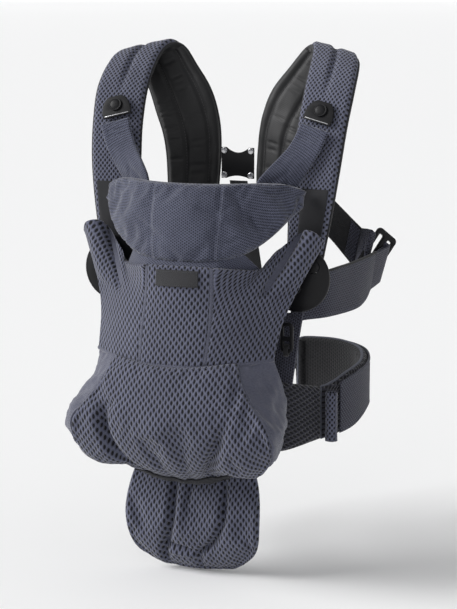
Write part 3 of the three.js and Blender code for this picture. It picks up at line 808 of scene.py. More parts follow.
def lining(name, colour, rib=1.9):
    """Closely woven black lining with faint cross ribs and a soft gloss."""
    shade = Shade(name, roughness=0.55, sheen=0.06, specular=0.35)
    _, y = shade.wobble(0.5)
    ribs = shade.math("SINE", shade.times(y, 2 * math.pi / rib))
    grain = shade.noise(800, 2, shade.cloth)
    patchy = shade.noise(22, 3)
    tone = shade.madd(ribs, 0.12, shade.madd(grain, 0.5, 0.1))
    tone = shade.madd(patchy, 0.4, tone, clamp=True)
    shade.colour(shade.mix(tone, [c * 0.62 for c in colour], [c * 1.35 for c in colour]))
    shade.bump(shade.madd(ribs, 0.4, shade.times(grain, 0.4)), 0.2, 0.6)
    return shade.material


def honeycomb(name, colour, pitch=4.2):
    """Black honeycomb lining: small soft cells with raised walls, and painted shade in the sunken cells."""
    shade = Shade(name, roughness=0.75, sheen=0.2, specular=0.3)
    x, y = shade.wobble(0.4)
    far = shade.lattice(x, y, pitch, pitch * 1.73, pitch * 0.8, pitch * 0.8)
    shaded_cell = shade.ramp(far, 0.55, 1.15, 1.0, 0.0)
    grain = shade.noise(700, 2, shade.cloth)
    tone = shade.madd(grain, 0.6, 0.2, clamp=True)
    cloth = shade.mix(tone, [c * 0.8 for c in colour], [c * 1.5 for c in colour])
    # The sunken cells are darkened toward near black: painted shade.
    shade.colour(shade.mix(shade.times(shaded_cell, 0.55), cloth, RECESS_SHADE))
    shade.bump(shade.minus(grain, shaded_cell), 0.5, 0.8)
    return shade.material


def webbing(name, colour, pitch=2.2):
    """Flat woven webbing: a herringbone of fine diagonal ribs."""
    shade = Shade(name, roughness=0.7, sheen=0.15, specular=0.4)
    bend = shade.math("PINGPONG", shade.x, pitch * 1.6)
    weave = shade.math("SINE", shade.times(shade.plus(bend, shade.y), 2 * math.pi / pitch))
    grain = shade.noise(900, 2, shade.cloth)
    tone = shade.madd(weave, 0.3, shade.madd(grain, 0.6, 0.2), clamp=True)
    shade.colour(shade.mix(tone, [c * 0.6 for c in colour], [c * 1.5 for c in colour]))
    shade.bump(shade.madd(weave, 0.6, grain), 0.25, 0.8)
    return shade.material


def plastic(name, colour, roughness, coat, grain=0.15):
    """Moulded plastic: fine grain, slight cloudiness, and painted highlights along its sharp edges."""
    shade = Shade(name, roughness=roughness, coat=coat, specular=0.22)
    cloud = shade.noise(40, 3)
    fine = shade.noise(1600, 2)
    # Lighter along sharp convex edges: painted highlight.
    edge_highlight = shade.ramp(shade.node("ShaderNodeNewGeometry").outputs["Pointiness"], 0.52, 0.6)
    tone = shade.mix(cloud, [c * 0.8 for c in colour], [c * 1.2 for c in colour])
    shade.colour(shade.mix(shade.times(edge_highlight, 0.35), tone, [min(1, c * 3 + 0.02) for c in colour]))
    rough = shade.madd(cloud, 0.16, roughness - 0.08, clamp=True)
    shade.link(rough, shade.shader.inputs["Roughness"])
    shade.bump(fine, 0.06, grain * 2)
    return shade.material


def metal(name, colour):
    shade = Shade(name, roughness=0.28, metallic=1.0)
    cloud = shade.noise(900, 3)
    shade.colour(shade.mix(cloud, [c * 0.75 for c in colour], colour))
    shade.link(shade.madd(cloud, 0.25, 0.15), shade.shader.inputs["Roughness"])
    shade.bump(cloud, 0.04, 0.5)
    return shade.material


def foam(name, colour):
    shade = Shade(name, roughness=0.95, specular=0.2)
    cells = shade.node("ShaderNodeTexVoronoi")
    cells.inputs["Scale"].default_value = 900
    shade.link(shade.solid, cells.inputs["Vector"])
    depth = cells.outputs["Distance"]
    # Darker in each cell's sunken middle: painted shade in the foam's pores.
    shade.colour(shade.mix(shade.ramp(depth, 0.1, 0.7), [c * 0.6 for c in colour], colour))
    shade.bump(depth, 0.4, 0.7)
    return shade.material


LOOKS = {
    "panel_mesh": spacer_mesh("panel mesh", 6.4, 8.8, 2.45, 4.9),
    "strap_mesh": spacer_mesh("strap mesh", 5.2, 6.4, 2.1, 2.9),
    "belt_mesh": spacer_mesh("belt mesh", 6.2, 8.4, 3.0, 5.2, slant=0.35, light=linear(62, 63, 74),
                             dark=linear(36, 36, 45)),
    "knit": knit("head support knit", linear(100, 104, 123), linear(56, 58, 74), wale=2.1, course=3.0,
                 dot_shade=0.85),
    "jersey": jersey("gusset jersey", linear(100, 102, 117), linear(62, 63, 77)),
    "ribbed_band": ribbed("ribbed band", linear(82, 83, 97), linear(52, 53, 65)),
    "quilted_lining": lining("quilted lining", BLACK_CLOTH),
    "belt_lining": honeycomb("belt honeycomb", linear(36, 36, 38)),
    "black_webbing": webbing("black webbing", linear(30, 30, 33)),
    "patch": lining("strap patch", linear(22, 22, 27), 1.2),
    "label": webbing("label weave", linear(37, 37, 41), 0.8),
    "foam": foam("foam", linear(206, 202, 192)),
    "gloss_plastic": plastic("gloss plastic", linear(13, 13, 16), 0.50, 0.02),
    "matte_plastic": plastic("satin plastic", linear(9, 9, 13), 0.42, 0.05),
    "rivet_metal": metal("rivet metal", [0.72, 0.72, 0.74]),
    "thread": webbing("grey thread", linear(92, 95, 108), 0.7),
    "black_thread": webbing("black thread", linear(58, 58, 60), 0.7),
}


def paint(piece, *names):
    piece.data.materials.clear()
    for name in names:
        if name:
            piece.data.materials.append(LOOKS[name])


def settle_in(piece, body, nodes=()):
    """Every piece rides a body and stands for its CAD nodes."""
    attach(piece, body)
    if nodes:
        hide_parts(*nodes)
    return piece


def sew(name, rows, body, slot, *thread):
    """Stitching that rides a body; thread is its look, stitch length, gap and radius."""
    settle_in(stitches(name, rows, *thread), body)


def mirrored(point, side):
    return (side * point[0], point[1], point[2])


# ---------- shoulder straps ----------
CREASE = [(-0.05, 0.33), (-0.02, 0.40), (0.02, 0.47), (0.05, 0.56)]
CHANNELS = (0.20, 0.63)           # quilting channels of the lining, from the neck side
CREASE_DEPTH = 5.0


def strap_width_share(side, from_inner):
    """u of a share of the width counted from the neck-side edge."""
    return from_inner if side > 0 else 1 - from_inner


def strap_cover_relief(surface, side):
    def relief(c):
        path = [(side * s, v) for s, v in CREASE]
        crown = 1.2 * (1 - c.s**2)
        scallops = 0.35 * ripples(c.x, c.y, 34, 3)
        return crown + scallops + fold(c, surface, path, CREASE_DEPTH, 3.2)

    return relief


def strap_lining_relief(surface, side):
    def relief(c):
        total = 0.5 * ripples(c.x, c.y, 22, 8)
        for share in CHANNELS:
            u = strap_width_share(side, share)
            total = total + 3.2 * groove((c.u - u) * STRAP_WIDTH, 1.9)
        rng = np.random.default_rng(5)
        for k in range(26):
            v0 = 0.40 + 0.58 * (k + rng.uniform(-0.3, 0.3)) / 26
            middle = strap_width_share(side, rng.choice([0.40, 0.82], p=[0.65, 0.35]))
            across = groove((c.u - middle) * STRAP_WIDTH, rng.uniform(6, 11))
            bend = 3.0 * ((c.u - middle) * 2) ** 2 * rng.uniform(-1, 1)
            total = total + rng.uniform(1.0, 2.0) * across * groove((c.v - v0) * STRAP_LENGTH + bend, 1.5)
        return total - 2.2 * np.abs(np.sin(np.pi * c.u)) ** 0.5

    return relief


def make_shoulder_strap(label, side):
    surface = ribbon(STRAP_INNER, STRAP_OUTER, side)
    size = (STRAP_WIDTH, STRAP_LENGTH)
    cover = Cloth(surface, size, STRAP_HALF, 2.9, rim=5.0, step=2.2, middle=0.5,
                  relief=strap_cover_relief(surface, side))
    piece = cover.build(f"strap_cover_{label}", "strap_mesh")
    settle_in(piece, "harness", [f"shoulder_strap_cover_{label}"])
    pad = Cloth(surface, size, -2.9, -STRAP_HALF, rim=5.0, step=2.2, middle=-0.5,
                under=strap_lining_relief(surface, side))
    piece = pad.build(f"strap_lining_{label}", "quilted_lining")
    settle_in(piece, "harness", [f"shoulder_strap_lining_{label}"])
    core = Cloth(patch(surface, 0.06, 0.94, 0.012, 0.988), size, 2.4, -2.4, rim=2.4, step=5)
    piece = core.build(f"strap_foam_{label}", "foam")
    settle_in(piece, "harness", [f"shoulder_strap_foam_{label}"])
    make_strap_binding(label, surface)
    rows = []
    for share in CHANNELS:
        v = np.linspace(0.36, 0.985, 150)
        u = np.full_like(v, strap_width_share(side, share))
        rows.append(pad.on(u, v, 0.15, back=True))
    sew(f"strap_quilting_{label}", rows, "harness", "quilted_lining", "black_thread", 2.4, 1.3, 0.3)
    make_strap_patch(label, side, cover)


def make_strap_binding(label, surface):
    """Black binding that closes the edge between mesh cover and lining."""
    piece = edge_binding(f"strap_binding_{label}", surface, 130, 1.5, 2.1, "black_webbing", 3.2)
    settle_in(piece, "harness")


def make_strap_patch(label, side, cover):
    """Black patch low on the front of each strap."""
    u0, u1 = sorted((strap_width_share(side, 0.30), strap_width_share(side, 0.90)))

    def surface(u, v):
        point, _ = cover.on(u0 + (u1 - u0) * u, 0.035 + 0.115 * v, 0.25)
        return point

    tag = Cloth(surface, (32, 52), 0.9, 0.0, rim=0.8, step=3)
    piece = tag.build(f"strap_patch_{label}", "patch")
    settle_in(piece, "harness")


# ---------- neck coupler ----------
COUPLER = (20, 18, 13, 260)       # half width, half height, y and z of its middle
RIVET_INSET = (3.6, 3.8)
RIVET_PROFILE = [
    (0, 1.4), (1.4, 1.4), (2.0, 1.0), (2.0, -2.0), (2.9, -2.1), (2.9, -2.7), (2.3, -3.4), (0, -3.6),
]
EYELET_PROFILE = [(2.3, 1.45), (3.5, 1.45), (3.6, 1.75), (3.0, 2.15), (2.3, 2.0)]


def bowed(x0, x1, y, sag, count=12):
    t = np.linspace(0, 1, count)
    return [(x0 + (x1 - x0) * k, y + sag * 4 * k * (1 - k)) for k in t]


def make_coupler():
    w, h, y, z = COUPLER
    low = bowed(-w + 6, w - 6, -h, 3)
    high = bowed(w - 6, -w + 6, h, -6)
    outline = [(-w, -h), *low, (w, -h), (w, h), *high, (-w, h)]
    corners = [(sx, sz) for sx in (-1, 1) for sz in (-1, 1)]
    places = [(sx * (w - RIVET_INSET[0]), sz * (h - RIVET_INSET[1])) for sx, sz in corners]
    holes = [circle(2.4, *p, count=24) for p in places]
    matrix = axes((0, y, z), (1, 0, 0), (0, 0, 1))
    piece = plate("coupler_plate", outline, 3.0, 0.7, matrix, "gloss_plastic", holes)
    settle_in(piece, "harness", ["neck_coupler"])
    names = {(-1, -1): "low_left", (-1, 1): "top_left", (1, -1): "low_right", (1, 1): "top_right"}
    for corner, (x, dz) in zip(corners, places):
        name = names[corner]
        rivet = turned(f"rivet_{name}", RIVET_PROFILE, (x, y, z + dz), (0, -1, 0), "rivet_metal", 28)
        settle_in(rivet, "harness", [f"coupler_rivet_{name}"])
        eyelet = turned(f"eyelet_{name}", EYELET_PROFILE, (x, y, z + dz), (0, -1, 0), "rivet_metal", 28)
        settle_in(eyelet, "harness")


# ---------- head support ----------
HEAD_SEAMS = (-0.32, 0.32)
HEAD_FOLDS = [                     # path of (s, v) points, depth and width in millimetres
    ([(0.55, 0.62), (0.60, 0.45), (0.66, 0.28)], 4.2, 2.6),
    ([(0.44, 0.84), (0.49, 0.66), (0.50, 0.5)], 2.2, 2.6),
    ([(-0.90, 0.98), (-0.72, 0.84), (-0.60, 0.88)], 3.4, 3.0),
    ([(-0.84, 0.72), (-0.66, 0.60), (-0.50, 0.62)], 1.8, 4.0),
    ([(0.92, 0.96), (0.74, 0.84), (0.66, 0.86)], 3.0, 3.0),
    ([(0.53, 0.60), (0.57, 0.45), (0.62, 0.30)], -1.4, 3.2),
    ([(-0.80, 0.45), (-0.62, 0.40), (-0.46, 0.50)], -1.6, 9.0),
    ([(0.30, 0.30), (0.42, 0.24), (0.55, 0.30)], 2.0, 2.4),
]


def head_relief(c):
    total = 0.5 * ripples(c.x, c.y, 40, 12) + 0.25 * ripples(c.x, c.y, 15, 2)
    for s in HEAD_SEAMS:
        slant = 0.03 * (1 - c.v) * np.sign(s)
        total = total - 1.9 * groove((c.s - s + slant) * HEAD_HALF_WIDTH, 1.8)
        total = total + 0.7 * groove((c.s - s + slant) * HEAD_HALF_WIDTH - 4.5, 2.6)
    return with_folds(total, c, head_surface, HEAD_FOLDS)


def make_head_support():
    cushion = Cloth(head_surface, (232, 84), head_half, lambda u, v: -head_half(u, v), rim=4.5, step=2.6,
                    relief=head_relief)
    piece = cushion.build("head_cushion", "knit")
    settle_in(piece, "head_support", ["head_support_cushion"])
    PUFFED.append((cushion, 2.0, 3.5, HEAD_SEAMS))
    return cushion


def make_head_hinge():
    """Fabric that joins the cushion's lower edge to the panel's top edge."""
    share = 0.97

    def surface(u, v):
        s = share * (2 * u - 1)
        low = panel_surface((1 + s * 0.62) / 2, np.ones_like(v))
        low = low + np.array([0, 2.5, -4.0])
        high = head_surface((1 + s * 0.56) / 2, np.full_like(v, 0.06))
        high = high - np.stack([s * 0, head_half((1 + s * 0.56) / 2, np.full_like(v, 0.06)) * 0.3, s * 0], -1)
        w = v[..., None]
        return low * (1 - w) + high * w

    strip = Cloth(surface, (125, 12), 1.2, -1.2, rim=1.0, step=2.0)
    piece = strip.build("head_hinge", "knit")
    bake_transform(piece)


def finish_head_support(cushion):
    rows = []
    v = np.linspace(0.06, 0.94, 60)
    for s in HEAD_SEAMS:
        slant = 0.03 * (1 - v) * np.sign(s)
        rows.append(cushion.on((s - slant + 1) / 2 + 0.016, v, 0.2))
    u = np.linspace(0.03, 0.97, 120)
    rows.append(cushion.on(u, np.full_like(u, 0.035), 0.2))
    sew("head_stitching", rows, "head_support", "jersey", "thread", 2.3, 1.6, 0.28)


def head_strap_relief(surface, side):
    def relief(c):
        total = 0.4 * ripples(c.x, c.y, 14, 21) * (1 - 0.6 * c.v)
        for v0 in (0.80, 0.87):
            total = total - 1.1 * groove((c.v - v0) * 96, 1.3) * (np.abs(c.s) < 0.72)
        total = total - 0.8 * groove((c.v - 0.95) * 96, 1.0)
        folds = [
            ([(-side * 0.7, 0.0), (-side * 0.3, 0.25), (side * 0.1, 0.42)], 1.6, 3.0),
            ([(side * 0.5, 0.02), (side * 0.35, 0.2), (-side * 0.1, 0.5)], 1.2, 2.4),
        ]
        return with_folds(total, c, surface, folds)

    return relief


def make_head_strap(label, side):
    surface = ribbon(HEAD_STRAP_INNER, HEAD_STRAP_OUTER, side)
    band = Cloth(surface, (42, 96), 2.5, -2.5, rim=2.5, step=1.6, relief=head_strap_relief(surface, side))
    piece = band.build(f"head_strap_{label}", "knit")
    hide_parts(f"head_support_strap_{label}")
    u = np.linspace(0.12, 0.88, 30)
    rows = [band.on(u, np.full_like(u, v), 0.2) for v in (0.80, 0.87, 0.95)]
    sewing = stitches(f"head_strap_stitching_{label}", rows, "thread", 2.2, 1.2, 0.3)
    base, tip = band.place[0].mean(0) * MM, band.place[-1].mean(0) * MM
    for part in (piece, sewing):
        tuple(base)
        tuple(tip)
        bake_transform(part)


# ---------- snap fasteners ----------
def tab_matrix(side, lift=0.0, up=0.0):
    rise = Vector((0, 0.436, 0.9))
    across = Vector((1, 0, 0))
    x_axis = across * math.cos(TAB_LEAN) - rise * side * math.sin(TAB_LEAN)
    y_axis = rise * math.cos(TAB_LEAN) + across * side * math.sin(TAB_LEAN)
    centre = Vector(mirrored(TAB_CENTRE, side)) + TAB_FACE * lift + y_axis * up
    return axes(centre, x_axis, y_axis), centre


def tab_outline():
    right = [(17, -12), (17.3, -4), (15.6, 4), (12.4, 9.6), (8, 13)]
    return right + [(-x, y) for x, y in reversed(right)]


CAP_PROFILE = [                   # radius, height
    (0, 1.9), (3.0, 1.75), (5.2, 1.3), (6.0, 0.7), (6.5, 0.9), (7.2, 0.8), (7.5, 0.2), (7.5, -1.0), (0, -1.0),
]
STUD_PROFILE = [(0, 2.3), (3.6, 2.3), (4.4, 1.7), (4.0, 0.4), (5.0, -1.6), (5.0, -2.3), (0, -2.3)]


def make_snap(label, side):
    body = f"snap_{label}"
    matrix, _ = tab_matrix(side)
    tab = plate(f"snap_plate_{label}", tab_outline(), TAB_THICK, 0.8, matrix, "gloss_plastic",
                [circle(5.6, 0, 2)])
    settle_in(tab, body, [f"snap_tab_{label}"])
    _, hub = tab_matrix(side, TAB_THICK / 2 + 1.4, 2)
    cap = turned(f"snap_button_{label}", CAP_PROFILE, hub, TAB_FACE, "gloss_plastic")
    settle_in(cap, body, [f"snap_cap_{label}"])
    # Thin bright metal strip along the tab's lower edge, put where the tab shows a highlight line: painted
    # highlight.
    edge, _ = tab_matrix(side, TAB_THICK / 2 + 0.1, -10.4)
    highlight_bar = plate(f"snap_edge_highlight_{label}", rounded(29, 1.0, 0.45), 0.7, 0.25, edge, "rivet_metal")
    settle_in(highlight_bar, body)
    _, stud_hub = tab_matrix(side, -2.6, 2)
    stud = turned(f"snap_post_{label}", STUD_PROFILE, stud_hub, TAB_FACE, "gloss_plastic", 36)
    settle_in(stud, "harness", [f"snap_stud_{label}"])


# ---------- front panel ----------
LEFT_SEAM = (1 - PANEL_SEAM) / 2
SEAM_GAP = 0.004
PANEL_HALF = 2.5


def to_panel(u0, u1):
    """Relief works in the whole panel's s, so that both halves match."""

    def relief(c):
        s = 2 * (u0 + (u1 - u0) * c.u) - 1
        v = c.v
        side = np.sign(s)
        reach = np.abs(s)
        total = 0.9 * np.sin(np.pi * np.clip((reach - 0.05) / 0.9, 0, 1))
        total = total + 0.5 * ripples(c.place[..., 0], c.place[..., 2], 55, 4)
        valley = np.maximum(0, v - 0.62) / 0.38
        line = 0.80 + 0.02 * side - 0.10 * (1 - v)
        total = total - 15 * np.sqrt(valley) * groove((reach - line) * 108, 4.8)
        total = total + 11.0 * np.sqrt(valley) * groove((reach - 0.92) * 108, 7.5)
        total = total + 1.6 * groove((1 - v) * 105, 3.5) * (reach > 0.36)
        return total

    return relief


def make_panel():
    half = PANEL_HALF
    parts = (
        ("panel_centre", "front_panel_centre", LEFT_SEAM + SEAM_GAP, 1 - LEFT_SEAM - SEAM_GAP, 78),
        ("panel_wing_left", "front_panel_wing_left", 0.0, LEFT_SEAM - SEAM_GAP, 100),
        ("panel_wing_right", "front_panel_wing_right", 1 - LEFT_SEAM + SEAM_GAP, 1.0, 100),
    )
    for name, node, u0, u1, width in parts:
        surface = patch(panel_surface, u0, u1, 0.0, 1)
        cloth = Cloth(surface, (width, 112), half, -half, rim=2.5, step=1.8, relief=to_panel(u0, u1))
        piece = cloth.build(name, "panel_mesh", "jersey")
        settle_in(piece, "front_panel", [node])
    v = np.linspace(0.02, 0.99, 60)
    for label, side in SIDES:
        u = np.full_like(v, (1 + side * PANEL_SEAM) / 2)
        line, n = panel_surface(u, v), normals(panel_surface, u, v)
        welt = tube(f"panel_welt_{label}", line + n * (half - 0.5), n, 2.2, 1.1, "jersey", step=2.5)
        settle_in(welt, "front_panel")
        rows = []
        for shift in (-1.5, 1.5):
            x = np.cross(n, np.gradient(line, axis=0))
            x = x / np.linalg.norm(x, axis=1, keepdims=True)
            rows.append((line + n * (half + 0.35) + x * shift, n))
        sew(f"panel_welt_stitching_{label}", rows, "front_panel", "panel_mesh", "thread", 2.2, 1.2, 0.26)
    make_label()


def make_label():
    surface = patch(panel_surface, 0.385, 0.615, 0.8, 0.96)
    tag = Cloth(surface, (45, 17), PANEL_HALF + 2.3, PANEL_HALF + 1.2, rim=0.6, step=2,
                middle=PANEL_HALF + 1.7)
    piece = tag.build("blank_label", "label")
    settle_in(piece, "front_panel", ["panel_label"])
    t = np.linspace(0.05, 0.95, 24)
    low, high = np.full_like(t, 0.1), np.full_like(t, 0.9)
    edges = ((t, low), (t, high), (low * 0.4, t), (1 - low * 0.4, t))
    rows = [tag.on(u, v, 0.1) for u, v in edges]
    sew("label_stitching", rows, "front_panel", "label", "black_thread", 1.6, 1.0, 0.22)


# ---------- seat ----------
SEAT_FOLDS = [
    ([(-0.76, 0.32), (-0.66, 0.50), (-0.56, 0.72), (-0.42, 0.92)], 14.0, 6.5),
    ([(0.60, 0.42), (0.48, 0.58), (0.41, 0.76), (0.36, 0.95)], 11.0, 5.8),
    ([(-0.16, 0.60), (-0.14, 0.76), (-0.10, 0.97)], 3.0, 5.0),
    ([(0.14, 0.56), (0.14, 0.76), (0.12, 0.97)], 3.4, 5.0),
    ([(0.93, 0.10), (0.84, 0.24), (0.70, 0.36)], 3.5, 6.0),
]
SEAT_LOBES = [(-0.82, 0.74, 20, 7.0), (0.72, 0.74, 24, 8.0), (-0.1, 0.62, 34, 6.0), (0.0, 0.30, 70, 3.0)]


def seat_relief(c):
    total = 0.7 * ripples(c.x, c.y, 46, 31) + 0.3 * ripples(c.x, c.y, 18, 6) * c.v
    total = with_folds(total, c, seat_surface, SEAT_FOLDS)
    for s, v, width, height in SEAT_LOBES:
        centre = seat_surface(np.array([[(s + 1) / 2]]), np.array([[v]]))[0, 0]
        total = total + height * groove(np.linalg.norm(c.place - centre, axis=-1), width)
    gathers = np.sin(c.s * 34 + 2 * np.sin(c.s * 9)) * np.maximum(0, c.v - 0.72) / 0.28
    return total + 0.45 * gathers


def make_seat():
    pouch = Cloth(seat_surface, (220, 190), 4, -4, rim=4.0, step=2.2, relief=seat_relief, under=seat_relief,
                  flip=True)
    piece = pouch.build("seat_pouch_cloth", "panel_mesh", "jersey")
    settle_in(piece, "front_panel", ["seat_pouch"])
    PUFFED.append((pouch, 1.2, 3.0, []))
    for label, side in SIDES:
        make_gusset(label, side)
        matrix = axes((side * 104, -103, 146), (1, 0, 0), (0, 0, 1))
        slot = [rounded(14, 3, 1.4, 0, 8)]
        tongue = plate(f"tongue_{label}", rounded(26, 34, 8), 3, 0.8, matrix, "matte_plastic", slot)
        settle_in(tongue, "front_panel", [f"wing_tongue_{label}"])
    return pouch


def finish_seat(pouch):
    def surface(a, b):
        point, _ = pouch.on(0.10 + 0.80 * a, 0.91 + 0.075 * b, 0.5)
        return point

    trim = Cloth(surface, (90, 16), 2.5, 0.0, rim=1.4, step=2.4, middle=0.7, flip=True)
    piece = trim.build("seat_trim", "patch")
    settle_in(piece, "front_panel", ["seat_edge_trim"])
    rows = [trim.on(np.linspace(0.03, 0.97, 60), np.full(60, b), 0.15) for b in (0.22, 0.8)]
    sew("seat_trim_stitching", rows, "front_panel", "black_webbing", "black_thread", 2.2, 1.2, 0.26)
    u = np.linspace(0.0, 1.0, 110)
    line, n = panel_surface(u, np.zeros_like(u)), normals(panel_surface, u, np.zeros_like(u))
    seam = tube("seat_seam", line + n * 0.6, n, 2.6, 2.2, "jersey", step=2.5)
    settle_in(seam, "front_panel")
    u = np.linspace(0.03, 0.97, 100)
    rows = [pouch.on(u, np.full_like(u, 0.035), 0.2)]
    sew("seat_seam_stitching", rows, "front_panel", "panel_mesh", "thread", 2.3, 1.4, 0.28)


def gusset_relief(side):
    def relief(c):
        total = 0.9 * ripples(c.x, c.y, 26, 40) + 0.5 * ripples(c.x, c.y, 9, 41)
        return total + 1.2 * np.sin(c.y / 5.5 + 1.6 * np.sin(c.x / 9)) * groove(c.s, 0.9)

    return relief


def make_gusset(label, side):
    surface = gusset_surface(side)
    cloth = Cloth(surface, (60, 125), 1.5, -1.5, rim=1.5, step=2.0, relief=gusset_relief(side),
                  under=gusset_relief(side), flip=True)
    piece = cloth.build(f"gusset_{label}", "jersey")
    settle_in(piece, "front_panel", [f"seat_gusset_{label}"])
    v = np.linspace(0.04, 0.96, 60)
    seam = cloth.on(np.full_like(v, 0.06 if side > 0 else 0.94), v, 0.2)
    sew(f"gusset_stitching_{label}", [seam], "front_panel", "jersey", "thread", 2.3, 1.4, 0.28)


# ---------- flap ----------
FLAP_FOLDS = [
    ([(-0.28, 0.08), (-0.28, 0.30), (-0.27, 0.50), (-0.42, 0.72), (-0.62, 0.97)], 11.5, 4.2),
    ([(0.02, 0.08), (-0.02, 0.28), (-0.06, 0.52)], 4.5, 3.4),
    ([(0.50, 0.08), (0.50, 0.28), (0.47, 0.50), (0.30, 0.66), (0.12, 0.74), (0.13, 0.98)], 10.0, 3.6),
    ([(-0.46, 0.67), (-0.20, 0.69), (0.08, 0.72)], 6.5, 2.2),
    ([(-0.46, 0.73), (-0.20, 0.75), (0.06, 0.77)], -3.6, 3.2),
]


def flap_relief(c):
    crown = 4.5 * (1 - c.s**2) * np.sin(np.pi * np.clip(c.v * 1.15 - 0.15, 0, 1)) ** 1.5
    return with_folds(0.8 * ripples(c.x, c.y, 48, 51) + crown, c, flap_surface, FLAP_FOLDS)


def make_flap():
    cloth = Cloth(flap_surface, (155, 152), 4.5, -4.5, rim=4.5, step=2.0, relief=flap_relief, flip=True)
    piece = cloth.build("flap_pad", "panel_mesh", "jersey")
    settle_in(piece, "leg_flap", ["leg_flap"])
    PUFFED.append((cloth, 1.6, 3.0, []))


def make_web(name, low, high, half_width):
    """Fabric between the belt and a piece that hangs from it, in bowed rows like the piece's own."""
    top, bottom = bowed_rows([(half_width, *high), (half_width, *low)])

    def surface(u, v):
        s, w = 2 * u - 1, v[..., None]
        return top(s) * (1 - w) + bottom(s) * w

    web = Cloth(surface, (2 * half_width, 20), 1.0, -1.0, rim=0.9, step=2.4, flip=True)
    piece = web.build(name, "jersey")
    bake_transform(piece)


def make_webs():
    make_web("seat_web", (-139.5, 2, -78.5, 9), (-129.5, 3, -41, 0), 56)
    make_web("flap_web", (-121, 2, -52, 0), (-121, 4, -41, 0), 58)


# ---------- side buckles ----------
DISC_PROFILE = [                  # radius, height
    (0, 4.6), (10, 4.45), (20, 3.9), (28, 3.0), (33.5, 1.9), (35.0, 1.1), (36.2, 1.2), (37.4, 0.5),
    (38, -1.0), (38, -3.0), (37, -4.0), (0, -4.0),
]
BUTTON_PROFILE = [(0, 3.9), (4.2, 3.7), (6.3, 3.0), (7.0, 2.0), (7.0, -3.5), (0, -3.5)]


def make_side_buckle(label, side):
    x, y, z = mirrored(DISC_CENTRE, side)
    disc = turned(f"side_disc_{label}", DISC_PROFILE, (x, y, z), (0, -1, 0), "matte_plastic", 96)
    hub = (x + side * 20, y, z + 14)
    hole = [(0, 12), (7.5, 12), (7.5, -12), (0, -12)]
    cutter = turned("cutter", hole, hub, (0, -1, 0), "matte_plastic", 48)
    cut = disc.modifiers.new("hole", "BOOLEAN")
    cut.operation, cut.object, cut.solver = "DIFFERENCE", cutter, "EXACT"
    disc.data = bpy.data.meshes.new_from_object(disc.evaluated_get(bpy.context.evaluated_depsgraph_get()))
    disc.modifiers.clear()
    bpy.data.objects.remove(cutter)
    smooth_by_angle(disc.data, 40)
    settle_in(disc, "harness", [f"side_buckle_disc_{label}"])
    place = (hub[0], y - 2, hub[2])
    button = turned(f"disc_button_{label}", BUTTON_PROFILE, place, (0, -1, 0), "gloss_plastic", 48)
    settle_in(button, f"buckle_button_{label}", [f"side_buckle_button_{label}"])


# ---------- side straps, bands, sliders ----------
def make_side_strap(label, side):
    surface = ribbon(SIDE_STRAP_TOP, SIDE_STRAP_LOW, side)
    strap = Cloth(surface, (46, 140), 1.8, -1.8, rim=1.8, step=3)
    piece = strap.build(f"side_strap_cloth_{label}", "ribbed_band")
    settle_in(piece, "harness", [f"side_strap_{label}"])
    v = np.linspace(0, 1, 60)
    top = np.full_like(v, 0.0 if side > 0 else 1.0)
    line, n = surface(top, v), normals(surface, top, v)
    binding = tube(f"side_strap_binding_{label}", line, n, 1.4, 2.4, "black_webbing", step=3)
    settle_in(binding, "harness")
    rows = [strap.on(np.full_like(v, a), np.clip(v, 0.02, 0.98), 0.12) for a in (0.07, 0.93)]
    sew(f"side_strap_stitching_{label}", rows, "harness", "ribbed_band", "thread", 2.4, 1.4, 0.26)


def make_side_band(label, side):
    surface = ribbon(SIDE_BAND_TOP, SIDE_BAND_LOW, side)
    band = Cloth(surface, (48, 110), 1.2, -1.2, rim=1.2, step=3)
    piece = band.build(f"side_band_cloth_{label}", "black_webbing")
    settle_in(piece, "harness", [f"side_band_{label}"])
    tail = patch(surface, 0.06, 0.94, 0.72, 0.985)
    for sign, name in ((1, "outer"), (-1, "inner")):
        base = sign * 1.9
        end = Cloth(tail, (42, 28), base + 0.7, base - 0.7, rim=0.7, step=2.5, middle=base)
        piece = end.build(f"band_tail_{name}_{label}", "ribbed_band")
        settle_in(piece, "harness")


def make_slider(label, side):
    matrix = axes(mirrored(SLIDER_CENTRE, side), mirrored(SLIDER_SHORT, side), mirrored(SLIDER_LONG, side))
    slots = [rounded(7, 50, 2, -7.2, 0), rounded(7, 50, 2, 7.2, 0)]
    slider = plate(f"slider_frame_{label}", rounded(31, 63, 5), 5.4, 1.6, matrix, "gloss_plastic", slots)
    settle_in(slider, f"slider_{label}", [f"strap_slider_{label}"])
    make_slider_loop(f"band_loop_{label}", side, (SIDE_BAND_TOP[-1], SIDE_BAND_LOW[-1]), -1)
    make_slider_loop(f"strap_loop_{label}", side, (SIDE_STRAP_TOP[-1], SIDE_STRAP_LOW[-1]), 1)


SLIDER_BAR = 12.85                # from the slider's middle to its end bars
LOOP_SECTION = [(3.4, 3.8), (0, 4.2), (-4.0, 3.0), (-5.6, 0), (-4.0, -3.0), (0, -4.2), (3.4, -3.8)]


def make_slider_loop(name, side, edges, towards):
    """Folded end of a strap that wraps the slider's end bar."""
    short, long = (np.array(mirrored(p, side)) for p in (SLIDER_SHORT, SLIDER_LONG))
    middle = np.array(mirrored(SLIDER_CENTRE, side)) + towards * SLIDER_BAR * short
    face = np.cross(short, long) * side
    wrapped = [middle + towards * out * short + up * face for out, up in LOOP_SECTION]
    lines = []
    for edge, reach in zip(edges, (22.5, -22.5)):
        start = np.array(mirrored(edge, side))
        turn = [p + reach * long for p in wrapped]
        out, back = (start + turn[0]) / 2 + face, (start + turn[-1]) / 2 - face
        lines.append([start + 0.8 * face, out, *turn, back, start - 0.8 * face])
    first, second = catmull(lines[0]), catmull(lines[1])
    order = (first, second) if side > 0 else (second, first)
    strip = Cloth(ribbon_of(*order), (45, 70), 0.8, -0.8, rim=0.7, step=2.0)
    piece = strip.build(name, "ribbed_band")
    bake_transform(piece)


